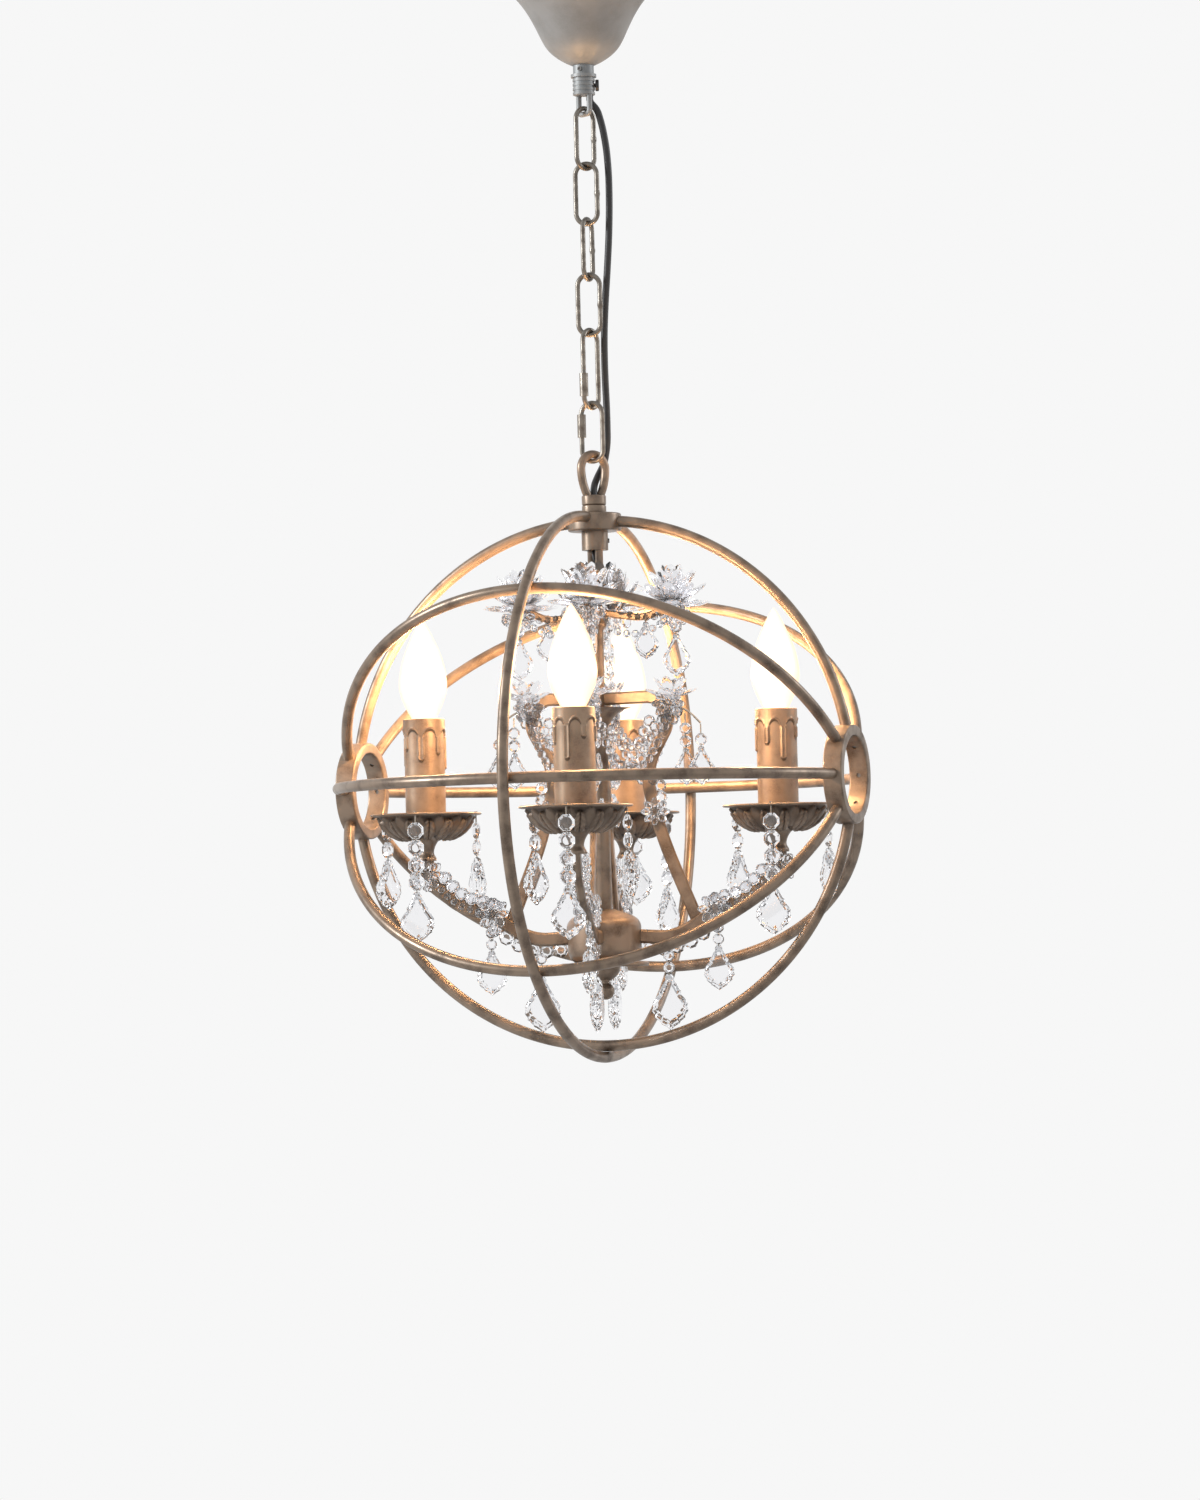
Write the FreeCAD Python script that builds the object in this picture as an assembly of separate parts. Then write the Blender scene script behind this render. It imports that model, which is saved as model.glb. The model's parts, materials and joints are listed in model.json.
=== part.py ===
import FreeCAD, Part
import math
import os

os.makedirs("parts", exist_ok=True)

Vec = FreeCAD.Vector
origin = Vec(0, 0, 0)
up = Vec(0, 0, 1)
east = Vec(1, 0, 0)

# An orb chandelier in millimetres: the ceiling is the plane z = 0 and everything hangs below it.
# The side hubs of the orb lie on the X axis, and -Y is the side that faces the room.

seat_gap = 0.05
play = 0.3
thread_play = 0.07

# Ceiling bracket: a strip with two feet against the ceiling and a dropped middle
bracket_length = 96.0
bracket_width = 22.0
bracket_thickness = 2.0
bracket_drop = 16.0
bracket_foot_length = 20.0
bracket_slot_spacing = 76.0
bracket_slot_width = 5.0
bracket_slot_length = 12.0

# Threaded nipple that carries the canopy and the chain
nipple_radius = 5.0
nipple_bore_radius = 3.5
nipple_rise = 6.0
nut_height = 4.0
nut_across_flats = 14.0

# Canopy: ogee shell, given as radius against height above its lower end
canopy_height = 60.0
canopy_wall = 1.2
canopy_rim_radius = 60.0
canopy_profile = [(8.0, 0.0), (17.4, 5.0), (25.0, 11.6), (31.5, 23.0), (38.0, 36.0), (45.0, 46.5)]

# Collar under the canopy with its two screws
collar_radius = 7.5
collar_height = 21.5
collar_thread_depth = 10.0
collar_flange_radius = 9.2
collar_flange_height = 2.2
collar_flange_drop = 6.5
collar_rib_radius = 8.0
collar_rib_count = 4
collar_rib_pitch = 3.2
set_screw_radius = 1.6
set_screw_length = 3.2
set_screw_drop = 3.2
set_screw_turn = -110.0
collar_floor = 2.5
collar_cavity_radius = 6.2
clamp_screw_radius = 1.5
clamp_screw_rise = 7.0
clamp_head_radius = 4.2
clamp_head_height = 2.6

# Terminal block and conductors inside the canopy
block_size = (16.0, 26.0, 10.0)
block_offset = 20.0
block_screw_radius = 1.7
block_screw_height = 1.5
block_screw_pitch = 8.0
earth_screw_radius = 2.0
earth_screw_length = 9.0
earth_head_radius = 3.6
earth_head_height = 2.0
conductor_radius = 0.9
conductor_spread = 2.2
conductor_bow = 6.0
conductor_pitch = 4.0

# Yoke under the collar
yoke_rod_radius = 2.0
yoke_half_width = 6.0
yoke_drop = 13.5
yoke_bend_radius = 3.0

# Chain: welded links, then two screw-lock links. Turns are about Z from the chain's own X axis.
chain_turn = 20.0
wire_radius = 1.75
link_half_width = 8.0
link_opening = 40.0
weld_radius = 1.95
weld_length = 2.4
welded_link_turns = [39.0, -17.0, 66.0, -8.0]
upper_lock_turn = 50.0
upper_lock_opening = 52.5
lower_lock_turn = -21.0
lower_lock_opening = 38.5
lock_gap = 6.2
lock_thread = 3.0
lock_nut_radius = 3.1
lock_nut_length = 16.5
loop_turn = 35.0

# Supply cable beside the chain: right, back and height in the chain's own axes
cable_radius = 2.5
cable_route = [
    (4.0, 1.0, -81.5), (4.0, 1.0, -86.0), (9.3, 0.3, -92.0), (12.6, 0.2, -104.0), (15.2, 1.0, -120.0),
    (16.4, 2.0, -139.0), (16.3, 3.0, -160.0), (15.5, 4.2, -182.0), (13.7, 6.2, -207.0),
    (11.6, 8.4, -231.0), (10.2, 9.7, -255.0), (10.1, 10.8, -281.0), (10.9, 11.6, -309.0),
    (10.8, 13.0, -332.0), (8.2, 13.6, -346.0), (3.2, 10.7, -355.5), (0.7, 5.0, -361.5),
    (0.0, 0.4, -366.5), (0.0, 0.0, -372.5),
]
cable_bore_radius = 2.8

# Loop on top of the orb and the collar under it
loop_rod_radius = 3.0
loop_half_width = 10.5
loop_foot_half_width = 5.6
loop_rise = 19.1
loop_base_radius = 8.75
loop_base_height = 7.2
loop_collar_radius = 8.75
loop_collar_height = 5.8
groove_depth = 1.0

# Orb: five hoops of round bar, two side hubs and a top hub
bar_radius = 4.0
hoop_radius = 188.0
cross_hoop_clearance = 0.1
cross_hoop_flat_drop = 6.0
side_hub_radius = 35.0
side_hub_bore_radius = 27.5
side_hub_length = 14.0
side_hub_rounding = 1.2
top_hub_radius = 19.25
top_hub_height = 13.0
top_hub_rounding = 1.5
bar_entry_depth = 5.0
hub_screw_radius = 1.5
hub_screw_length = 13.0
hub_screw_recess = 1.0

# Stem under the top hub, with a window where the conductors show
stem_collar_radius = 9.5
stem_collar_height = 13.5
window_height = 15.5
window_post_width = 5.0
window_floor = 2.0
stem_wire_radius = 1.1
stem_wire_offset = 1.5

# Crown: bell with upright leaves and four short scroll arms
bell_height = 22.0
bell_top_radius = 8.0
bell_lip_radius = 17.0
bell_wall = 1.5
leaf_count = 8
leaf_height = 20.0
leaf_width = 9.0
leaf_thickness = 2.0
leaf_clearance = 0.5
scroll_reach = 57.0
scroll_width = 5.0
scroll_thickness = 3.5
scroll_drop = 7.0

# Column, its cup and the lower body
column_radius = 4.5
column_bore_radius = 3.2
bead_radius = 7.2
bead_height = 9.4
bead_drop = 33.0
cup_drop = 98.0
cup_radius = 23.0
cup_height = 14.0
cup_stem_radius = 6.0
cup_stem_length = 130.0
body_radius = 26.5
body_height = 38.0
body_shoulder = 10.0
plate_radius = 31.5
plate_thickness = 3.0
cap_radius = 11.0
cap_height = 10.0
ball_radius = 6.2
ball_neck_radius = 3.0
ball_neck_height = 2.0

# Four arms in a cross that is turned a little from the orb's own axes
arm_places = ["front", "right", "rear", "left"]
arm_count = len(arm_places)
arm_turn = 12.0
candle_circle_radius = 127.5
arm_height = 10.0
arm_thickness = 5.5
arm_root_drop = 19.5
arm_sag = 2.0
arm_knot_rise = 18.0
arm_elbow_rise = 24.0
arm_rise_to_cup = 57.5
arm_neck_drop = 9.5
lyre_height = 9.0
lyre_thickness = 4.0
lyre_top_rise = 6.5
lyre_landing_rise = 10.0

# Arm cup, drip pan, lampholder, candle sleeve and bulb, one above the other
arm_cup_radius = 6.8
arm_cup_height = 16.5
arm_pin_radius = 4.9
arm_pin_height = 9.0
pan_radius = 40.0
pan_depth = 17.5
pan_wall = 1.2
pan_lip_width = 4.2
pan_foot_radius = 13.8
sleeve_radius = 14.5
sleeve_wall = 1.2
sleeve_length = 84.0
holder_radius = 12.2
holder_top_drop = 4.0
holder_socket_radius = 7.0
holder_socket_depth = 25.0
bulb_base_length = 24.0
bulb_radius = 17.3
bulb_glass_height = 76.0
bulb_wall = 0.9
bulb_lift = 0.6

# Crystals: each strand is its heading from its pan's middle and its number of octagons
strand_forms = [(160.0, 2), (40.0, 2), (-80.0, 4)]
rear_strand_turn = 60.0
pin_radius = 0.5
pin_head_radius = 1.2
pin_head_height = 0.6
pin_head_lift = 0.5
pin_length = 7.0
pin_hole_radius = 0.9
pin_gap = 0.8
octagon_radius = 6.2
octagon_thickness = 5.0
pear_width = 25.0
pear_height = 37.0
pear_thickness = 8.0
pear_neck = 0.16
rosette_radius = 10.0
rosette_petals = 8
rosette_thickness = 6.0
bead_crystal_radius = 3.3
bead_pitch = 6.9
bead_start = 14.0
bead_end = 16.0
low_drop_places = [(42.0, 26.0, 40.0), (80.0, 22.0, 32.0)]
crown_drop_share = 0.62
crown_drop_width = 17.0
crown_drop_height = 26.0


def polar(radius, angle, height=0.0):
    turn = math.radians(angle)
    return Vec(radius * math.cos(turn), radius * math.sin(turn), height)


def turned(shape, angle, about=up):
    copy = shape.copy()
    copy.rotate(origin, about, angle)
    return copy


def moved(shape, x=0.0, y=0.0, z=0.0):
    copy = shape.copy()
    copy.translate(Vec(x, y, z))
    return copy


def disc(radius, height, low=0.0):
    return Part.makeCylinder(radius, height, Vec(0, 0, low), up)


def ring(radius, bore, height, low=0.0):
    return disc(radius, height, low).cut(disc(bore, height, low))


def hexagon(across_flats, height, low):
    corner = across_flats / math.sqrt(3)
    points = [polar(corner, 60 * i + 30, low) for i in range(7)]
    return Part.Face(Part.makePolygon(points)).extrude(Vec(0, 0, height))


def lathe(*parts):
    """Each part is a list of (radius, height): two points make a line, more make a smooth curve."""
    edges = []
    for part in parts:
        points = [Vec(r, 0, z) for r, z in part]
        if len(points) == 2:
            edges.append(Part.makeLine(points[0], points[1]))
        else:
            curve = Part.BSplineCurve()
            curve.interpolate(points)
            edges.append(curve.toShape())
    return Part.Face(Part.Wire(edges)).revolve(origin, up, 360)


def inset(points, wall):
    """A profile moved inwards by the wall, square to its own run at each point."""
    moved_points = []
    for i, (r, z) in enumerate(points):
        before = points[max(i - 1, 0)]
        after = points[min(i + 1, len(points) - 1)]
        dr, dz = after[0] - before[0], after[1] - before[1]
        length = math.hypot(dr, dz)
        moved_points.append((r - wall * dz / length, z + wall * dr / length))
    return moved_points


def rounded_path(points, share=0.45):
    """Straight runs joined by tangent arcs; returns the wire and the radius of each arc."""
    edges, radii = [], []
    start = points[0]
    for i in range(1, len(points) - 1):
        corner = points[i]
        arriving = corner.sub(points[i - 1])
        leaving = points[i + 1].sub(corner)
        cut = share * min(arriving.Length, leaving.Length)
        half_turn = arriving.getAngle(leaving) / 2
        arriving.normalize()
        leaving.normalize()
        radius = cut / math.tan(half_turn)
        first = corner.sub(arriving.multiply(cut))
        last = corner.add(leaving.multiply(cut))
        inward = first.add(last).multiply(0.5).sub(corner).normalize()
        depth = radius / math.cos(half_turn) - radius
        middle = corner.add(inward.multiply(depth))
        edges.append(Part.makeLine(start, first))
        edges.append(Part.Arc(first, middle, last).toShape())
        radii.append(radius)
        start = last
    edges.append(Part.makeLine(start, points[-1]))
    return Part.Wire(edges), radii


def round_rod(path, radius):
    start = path.Edges[0].valueAt(path.Edges[0].FirstParameter)
    heading = path.Edges[0].tangentAt(path.Edges[0].FirstParameter)
    section = Part.Wire(Part.makeCircle(radius, start, heading))
    return path.makePipeShell([section], True, False)


def flat_bar(points, height, thickness, share=0.45):
    """A flat bar bent in the XZ plane along (x, z) points, with rounded long edges."""
    path, _ = rounded_path([Vec(x, 0, z) for x, z in points], share)
    run = points[1][0] - points[0][0], points[1][1] - points[0][1]
    length = math.hypot(*run)
    across = Vec(-run[1] / length, 0, run[0] / length)
    side = Vec(0, 1, 0)
    start = Vec(points[0][0], 0, points[0][1])
    a, b, c = height / 2, thickness / 2, min(height, thickness) * 0.3
    corners = [(a, b - c), (a - c, b), (c - a, b), (-a, b - c), (-a, c - b), (c - a, -b), (a - c, -b), (a, c - b)]
    outline = [start + across * u + side * v for u, v in corners]
    section = Part.makePolygon(outline + outline[:1])
    return path.makePipeShell([section], True, False)


def around(shape, count, first=0.0):
    return [turned(shape, first + 360 * i / count) for i in range(count)]


def solids(shape):
    found = shape.Solids
    return found if found else [Part.Solid(shape)]


def save(name, shapes):
    kept = [s for shape in shapes for s in solids(shape)]
    whole = kept[0] if len(kept) == 1 else Part.makeCompound(kept)
    whole.exportStep("parts/" + name + ".step")
    print(name, len(kept), round(sum(s.Volume for s in kept), 1), whole.isValid())


# Heights, from the ceiling down
bracket_low = -bracket_drop - bracket_thickness
canopy_low = -canopy_height
collar_low = canopy_low - collar_height
yoke_bar_height = collar_low - yoke_drop
first_opening_top = yoke_bar_height + yoke_rod_radius + play
lock_upper_top = first_opening_top - len(welded_link_turns) * link_opening
lock_lower_top = lock_upper_top - upper_lock_opening
orb_pivot_height = lock_lower_top - lower_lock_opening - wire_radius
loop_top = orb_pivot_height + wire_radius + play + loop_rod_radius
loop_base_top = loop_top - loop_half_width - loop_rise
loop_collar_top = loop_base_top - loop_base_height
hub_top = loop_collar_top - loop_collar_height
hub_low = hub_top - top_hub_height
cross_hoop_radius = hoop_radius + 2 * bar_radius + cross_hoop_clearance
orb_height = hub_top - top_hub_height / 2 - hoop_radius * math.cos(math.asin(top_hub_radius / hoop_radius))
stem_low = hub_low - stem_collar_height
window_low = stem_low - window_height
bell_low = window_low - bell_height
cup_top = window_low - cup_drop
cup_low = cup_top - cup_height
body_top = cup_low - cup_stem_length
body_low = body_top - body_height
plate_low = body_low - plate_thickness
cap_low = plate_low - cap_height
ball_height = cap_low - ball_neck_height - ball_radius * 0.9
arm_root_height = body_top - arm_root_drop
arm_cup_low = arm_root_height + arm_rise_to_cup
pan_low = arm_cup_low + arm_cup_height
pan_floor = pan_low + pan_wall
pan_rim = pan_low + pan_depth
sleeve_top = pan_floor + sleeve_length
holder_top = sleeve_top - holder_top_drop


# Ceiling side

def ceiling_bracket():
    half, middle = bracket_length / 2, bracket_length / 2 - bracket_foot_length
    t, drop = bracket_thickness, bracket_drop
    side = [(half, 0), (middle, 0), (middle - t, -drop), (0, -drop)]
    under = [(0, -drop - t), (middle - t + t / 2, -drop - t), (middle + t, -t), (half, -t)]
    right = [Vec(x, -bracket_width / 2, z) for x, z in side + under]
    bar = Part.Face(Part.makePolygon(right + right[:1])).extrude(Vec(0, bracket_width, 0))
    bar = bar.fuse(bar.mirror(origin, east)).removeSplitter()
    bar = bar.cut(disc(nipple_radius + seat_gap, 4 * t, bracket_low - t))
    straight = bracket_slot_length - bracket_slot_width
    for sign in (-1, 1):
        centre = sign * bracket_slot_spacing / 2
        slot = Part.makeBox(straight, bracket_slot_width, 4 * t, Vec(centre - straight / 2, -bracket_slot_width / 2, -2 * t))
        for end in (-1, 1):
            slot = slot.fuse(moved(disc(bracket_slot_width / 2, 4 * t, -2 * t), centre + end * straight / 2))
        bar = bar.cut(slot)
    return bar.cut(moved(disc(earth_screw_radius + seat_gap, 4 * t, bracket_low - t), -block_offset))


def canopy_nipple():
    top = -bracket_drop + nipple_rise
    low = canopy_low - collar_thread_depth
    return ring(nipple_radius, nipple_bore_radius, top - low, low)


def nipple_nuts():
    hole = disc(nipple_radius + seat_gap, canopy_height, -canopy_height)
    return [hexagon(nut_across_flats, nut_height, low).cut(hole)
            for low in (-bracket_drop + seat_gap, bracket_low - nut_height - seat_gap)]


def canopy():
    outer = canopy_profile + [(canopy_rim_radius, canopy_height)]
    inner = inset(outer, canopy_wall)
    inner[0] = (inner[0][0], canopy_wall)
    inner[-1] = (canopy_rim_radius - 1.8 * canopy_wall, canopy_height)
    hole = nipple_radius + seat_gap
    shell = lathe(outer, [outer[-1], inner[-1]], inner[::-1], [inner[0], (hole, canopy_wall)],
                  [(hole, canopy_wall), (hole, 0)], [(hole, 0), outer[0]])
    return moved(shell, z=canopy_low)


def set_screw_cylinder(radius, start, length):
    heading = polar(1, chain_turn + set_screw_turn)
    low = polar(start, chain_turn + set_screw_turn, canopy_low - set_screw_drop)
    return Part.makeCylinder(radius, length, low, heading)


def clamp_cylinder(radius, start, length):
    side = polar(start, chain_turn, collar_low + clamp_screw_rise)
    return Part.makeCylinder(radius, length, side, polar(1, chain_turn))


def canopy_collar():
    body = disc(collar_radius, collar_height - seat_gap, collar_low)
    flange_low = canopy_low - collar_flange_drop - collar_flange_height
    body = body.fuse(disc(collar_flange_radius, collar_flange_height, flange_low))
    for i in range(collar_rib_count):
        body = body.fuse(disc(collar_rib_radius, collar_rib_pitch / 2, flange_low - (i + 0.9) * collar_rib_pitch))
    thread_low = canopy_low - collar_thread_depth - seat_gap
    body = body.cut(disc(nipple_radius + seat_gap, collar_thread_depth + 2 * seat_gap, thread_low))
    body = body.cut(disc(collar_cavity_radius, thread_low - collar_low - collar_floor, collar_low + collar_floor))
    x, y, _ = cable_route[0]
    exit_hole = moved(disc(cable_bore_radius, thread_low - collar_low, collar_low - 1), x, y)
    body = body.cut(turned(exit_hole, chain_turn))
    body = body.cut(set_screw_cylinder(set_screw_radius + seat_gap, nipple_radius, collar_flange_radius))
    return body.cut(clamp_cylinder(clamp_screw_radius + seat_gap, nipple_radius, collar_flange_radius))


def canopy_set_screw():
    start = nipple_radius + play
    screw = set_screw_cylinder(set_screw_radius, start, set_screw_length)
    return screw.cut(set_screw_cylinder(set_screw_radius / 2, start + set_screw_length - 1, 2))


def cord_clamp_screw():
    tip = cable_route[0][0] + cable_radius + play
    head_low = collar_rib_radius + play
    shank = clamp_cylinder(clamp_screw_radius, tip, head_low - tip)
    head = clamp_cylinder(clamp_head_radius, head_low, clamp_head_height)
    rim = head.Edges
    return shank.fuse(head.makeFillet(clamp_head_height * 0.3, [rim[0], rim[2]])).removeSplitter()


def suspension_yoke():
    w, r = yoke_half_width, yoke_rod_radius
    floor = yoke_drop
    straight = floor - yoke_bend_radius
    bend = yoke_bend_radius
    middle = bend * (1 - math.sqrt(0.5))
    half = [Part.makeLine(Vec(-w, 0, 0), Vec(-w, 0, -straight)),
            Part.Arc(Vec(-w, 0, -straight), Vec(-w + middle, 0, -floor + middle), Vec(-w + bend, 0, -floor)).toShape(),
            Part.makeLine(Vec(-w + bend, 0, -floor), Vec(w - bend, 0, -floor)),
            Part.Arc(Vec(w - bend, 0, -floor), Vec(w - middle, 0, -floor + middle), Vec(w, 0, -straight)).toShape(),
            Part.makeLine(Vec(w, 0, -straight), Vec(w, 0, 0))]
    rod = round_rod(Part.Wire(half), r)
    return turned(moved(rod, z=collar_low - seat_gap), chain_turn + welded_link_turns[0] + 90)


def block_corner():
    length, width, height = block_size
    return Vec(block_offset - length / 2, -width / 2, bracket_low - seat_gap - height)


def terminal_block():
    length, width, height = block_size
    block = Part.makeBox(length, width, height, block_corner())
    block = block.makeFillet(1.0, [e for e in block.Edges if abs(e.tangentAt(e.FirstParameter).z) > 0.9])
    for x, y in block_screw_places():
        block = block.cut(moved(disc(block_screw_radius + seat_gap, block_screw_height, block_corner().z), x, y))
    return block


def block_screw_places():
    return [(block_offset, i * block_screw_pitch) for i in (-1, 0, 1)]


def terminal_screws():
    low = block_corner().z
    screws = [moved(disc(block_screw_radius, block_screw_height - seat_gap, low), x, y) for x, y in block_screw_places()]
    shank = disc(earth_screw_radius, earth_screw_length, bracket_low - earth_screw_length + bracket_thickness + 2)
    head = disc(earth_head_radius, earth_head_height, bracket_low - earth_head_height - seat_gap)
    return screws + [moved(shank.fuse(head).removeSplitter(), -block_offset)]


def canopy_cable():
    """The cable's end inside the collar and the nipple, and its three conductors up to the terminal block."""
    top = -bracket_drop + nipple_rise
    x, y, low = cable_route[0]
    inside = collar_low + collar_floor
    sheath_points = [Vec(x, y, low + seat_gap), Vec(x, y, inside + 1), Vec(0, 0, canopy_low - collar_thread_depth - 1.5),
                     Vec(0, 0, top - 2)]
    shapes = [turned(round_rod(rounded_path(sheath_points)[0], cable_radius), chain_turn)]
    side = block_size[1] / 2
    aim = math.degrees(math.atan2(side + conductor_bow, block_offset))
    middle = bracket_low - block_size[2] / 2
    for i in (-1, 0, 1):
        end_x = block_offset + i * conductor_pitch
        start = polar(i * conductor_spread, aim - 90, top - 2 + seat_gap)
        points = [start, Vec(start.x, start.y, top + 3), Vec(start.x + end_x * 0.6, start.y + side * 0.8, top + 3.5),
                  Vec(end_x, side + conductor_bow, middle), Vec(end_x, side + seat_gap, middle)]
        shapes.append(round_rod(rounded_path(points)[0], conductor_radius))
    return shapes


# Chain and cable

def link_solid(opening, rod_radius=wire_radius):
    """A closed link in the XZ plane whose opening spans from z = 0 down."""
    bend_height = link_half_width - rod_radius
    top, low = -bend_height, -opening + bend_height
    section = Part.Face(Part.Wire(Part.makeCircle(rod_radius, Vec(link_half_width, 0, 0), up)))
    bend = section.revolve(origin, Vec(0, -1, 0), 180)
    bend.translate(Vec(0, 0, top))
    other = bend.mirror(Vec(0, 0, (top + low) / 2), up)
    sides = [moved(disc(rod_radius, top - low, low), sign * link_half_width) for sign in (-1, 1)]
    return bend.fuse([other] + sides).removeSplitter()


def hang(shape, turn, height):
    return turned(moved(shape, z=height), chain_turn + turn)


def chain_links():
    links = []
    for i, turn in enumerate(welded_link_turns):
        weld = moved(disc(weld_radius, weld_length, -(link_opening + weld_length) / 2), link_half_width)
        links.append(hang(link_solid(link_opening).fuse(weld), turn, first_opening_top - i * link_opening))
    return links


def lock_sides(opening):
    """Top and lower end of a lock link's straight side, below its opening's top."""
    bend = link_half_width - wire_radius
    return -bend, bend - opening


def lock_link(opening, gap_low):
    gap = moved(Part.makeBox(4 * wire_radius, 4 * wire_radius, lock_gap), -2 * wire_radius, -2 * wire_radius, gap_low)
    return link_solid(opening).cut(moved(gap, -link_half_width))


def lock_nut(nut_low):
    nut = hexagon(2 * lock_nut_radius * 0.96, lock_nut_length, nut_low)
    nut = nut.common(Part.makeCylinder(lock_nut_radius, lock_nut_length, Vec(0, 0, nut_low), up))
    return moved(nut.cut(disc(wire_radius + thread_play, lock_nut_length, nut_low)), -link_half_width)


def upper_nut_low():
    return lock_sides(upper_lock_opening)[1]


def lower_nut_low():
    return lock_sides(lower_lock_opening)[0] - lock_nut_length


def upper_gap_low():
    """The upper nut opens its link by running up, so the gap is behind its lower part."""
    return upper_nut_low() + lock_thread


def lower_gap_low():
    return lower_nut_low() + lock_nut_length - lock_thread - lock_gap


def cable_points():
    return [turned(Part.Vertex(Vec(*p)), chain_turn).Point for p in cable_route]


def supply_cable():
    path, radii = rounded_path(cable_points())
    print("cable length", round(path.Length, 1), "arc radii", [round(r, 1) for r in radii])
    tube = round_rod(path, cable_radius)
    print("cable volume share", round(tube.Volume / (path.Length * math.pi * cable_radius ** 2), 4))
    return tube


# Loop, collar and top hub

def top_loop():
    w, foot, rise, r = loop_half_width, loop_foot_half_width, loop_rise, loop_rod_radius
    bend = ((w - foot) ** 2 + rise ** 2) / (2 * (w - foot))
    sway = math.asin(rise / bend) / 2
    middle = w - bend + bend * math.cos(sway), rise - bend * math.sin(sway)
    edges = [Part.Arc(Vec(-foot, 0, 0), Vec(-middle[0], 0, middle[1]), Vec(-w, 0, rise)).toShape(),
             Part.Arc(Vec(-w, 0, rise), Vec(0, 0, rise + w), Vec(w, 0, rise)).toShape(),
             Part.Arc(Vec(w, 0, rise), Vec(middle[0], 0, middle[1]), Vec(foot, 0, 0)).toShape()]
    arch = moved(round_rod(Part.Wire(edges), r), z=loop_base_top)
    base = disc(loop_base_radius, loop_base_height - seat_gap, loop_collar_top + seat_gap)
    base = base.makeFillet(groove_depth, [base.Edges[0], base.Edges[2]])
    arch = arch.cut(disc(loop_base_radius * 2, loop_base_height, loop_collar_top - loop_base_height / 2))
    whole = arch.fuse(base).cut(disc(cable_bore_radius, 2 * loop_base_height, loop_collar_top - 1))
    whole = whole.cut(disc(nipple_radius + seat_gap, loop_base_height / 2, loop_collar_top))
    return turned(whole.removeSplitter(), chain_turn + loop_turn)


def loop_collar():
    collar = disc(loop_collar_radius, loop_collar_height - seat_gap, hub_top + seat_gap)
    collar = collar.makeFillet(groove_depth, [collar.Edges[0], collar.Edges[2]])
    return collar.cut(disc(nipple_radius + seat_gap, loop_collar_height, hub_top))


def hub_nipple():
    top = loop_collar_top + loop_base_height / 2 - 2 * seat_gap
    low = stem_low + window_floor
    return ring(nipple_radius, cable_bore_radius, top - low, low)


def hoop_arc(radius, first, last, bar=bar_radius):
    """Part of a hoop in the XZ plane about the orb's centre; angles from +X, anticlockwise seen from -Y."""
    section = Part.Face(Part.Wire(Part.makeCircle(bar, Vec(radius, 0, 0), up)))
    arc = section.revolve(origin, Vec(0, -1, 0), last - first)
    arc.rotate(origin, Vec(0, -1, 0), first)
    return arc


def side_hub_place():
    return math.sqrt(hoop_radius ** 2 - side_hub_radius ** 2)


def side_clearances():
    """The space of both side hubs, which the ends of the bars stop at."""
    reach = side_hub_radius + seat_gap
    return [Part.makeCylinder(reach, 4 * side_hub_length, Vec(sign * side_hub_place() - 2 * side_hub_length, 0, 0), east)
            for sign in (-1, 1)]


def screw_turns():
    return [45 * i for i in range(8)]


def side_hub_screw(sign, turn, radius, start, length):
    place = Vec(sign * side_hub_place(), 0, start)
    screw = Part.makeCylinder(radius, length, place, up)
    return turned(screw, turn, east)


def screw_start():
    return side_hub_bore_radius + hub_screw_recess


def drilled_bar(bar, turns):
    for sign in (-1, 1):
        for turn in turns:
            bar = bar.cut(side_hub_screw(sign, turn, hub_screw_radius + seat_gap, side_hub_radius - 1,
                                         screw_start() + hub_screw_length - side_hub_radius + 2))
    return bar


def half_hoop(tilt):
    """From one side hub to the other over the top, then turned about the hub axis."""
    arc = hoop_arc(hoop_radius, 5, 175)
    for space in side_clearances():
        arc = arc.cut(space)
    return turned(drilled_bar(arc, [0]), tilt, east)


def in_orb(shape):
    return moved(shape, z=orb_height)


def horizontal_hoop():
    return [in_orb(half_hoop(tilt)) for tilt in (90, -90)]


def tilted_hoops():
    return [in_orb(half_hoop(tilt)) for tilt in (45, -45, 135, -135)]


def hub_inner_space():
    return disc(top_hub_radius - bar_entry_depth, 3 * top_hub_height, hub_low - top_hub_height)


def vertical_hoop():
    top = in_orb(half_hoop(0)).cut(hub_inner_space())
    return [in_orb(half_hoop(180))] + solids(top)


def cross_path(entry):
    """In the YZ plane: flat into the top hub, a tighter arc, then round below."""
    big, flat = cross_hoop_radius, cross_hoop_radius - cross_hoop_flat_drop
    edge = top_hub_radius
    tight = (big ** 2 - edge ** 2 - flat ** 2) / (2 * (big - flat))
    angle = math.atan2(edge, flat - tight)

    def on_big(turn):
        return Vec(0, big * math.sin(turn), big * math.cos(turn))

    def on_tight(turn):
        return Vec(0, edge + tight * math.sin(turn), flat - tight + tight * math.cos(turn))

    side = [Part.makeLine(Vec(0, entry, flat), Vec(0, edge, flat)),
            Part.Arc(on_tight(0), on_tight(angle / 2), on_tight(angle)).toShape(),
            Part.Arc(on_big(angle), on_big((angle + math.pi) / 2), on_big(math.pi)).toShape()]
    other = [edge_shape.mirror(origin, Vec(0, 1, 0)) for edge_shape in side]
    return Part.Wire(Part.__sortEdges__(side + other))


def cross_hoop():
    entry = top_hub_radius - bar_entry_depth
    return in_orb(round_rod(cross_path(entry), bar_radius))


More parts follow.
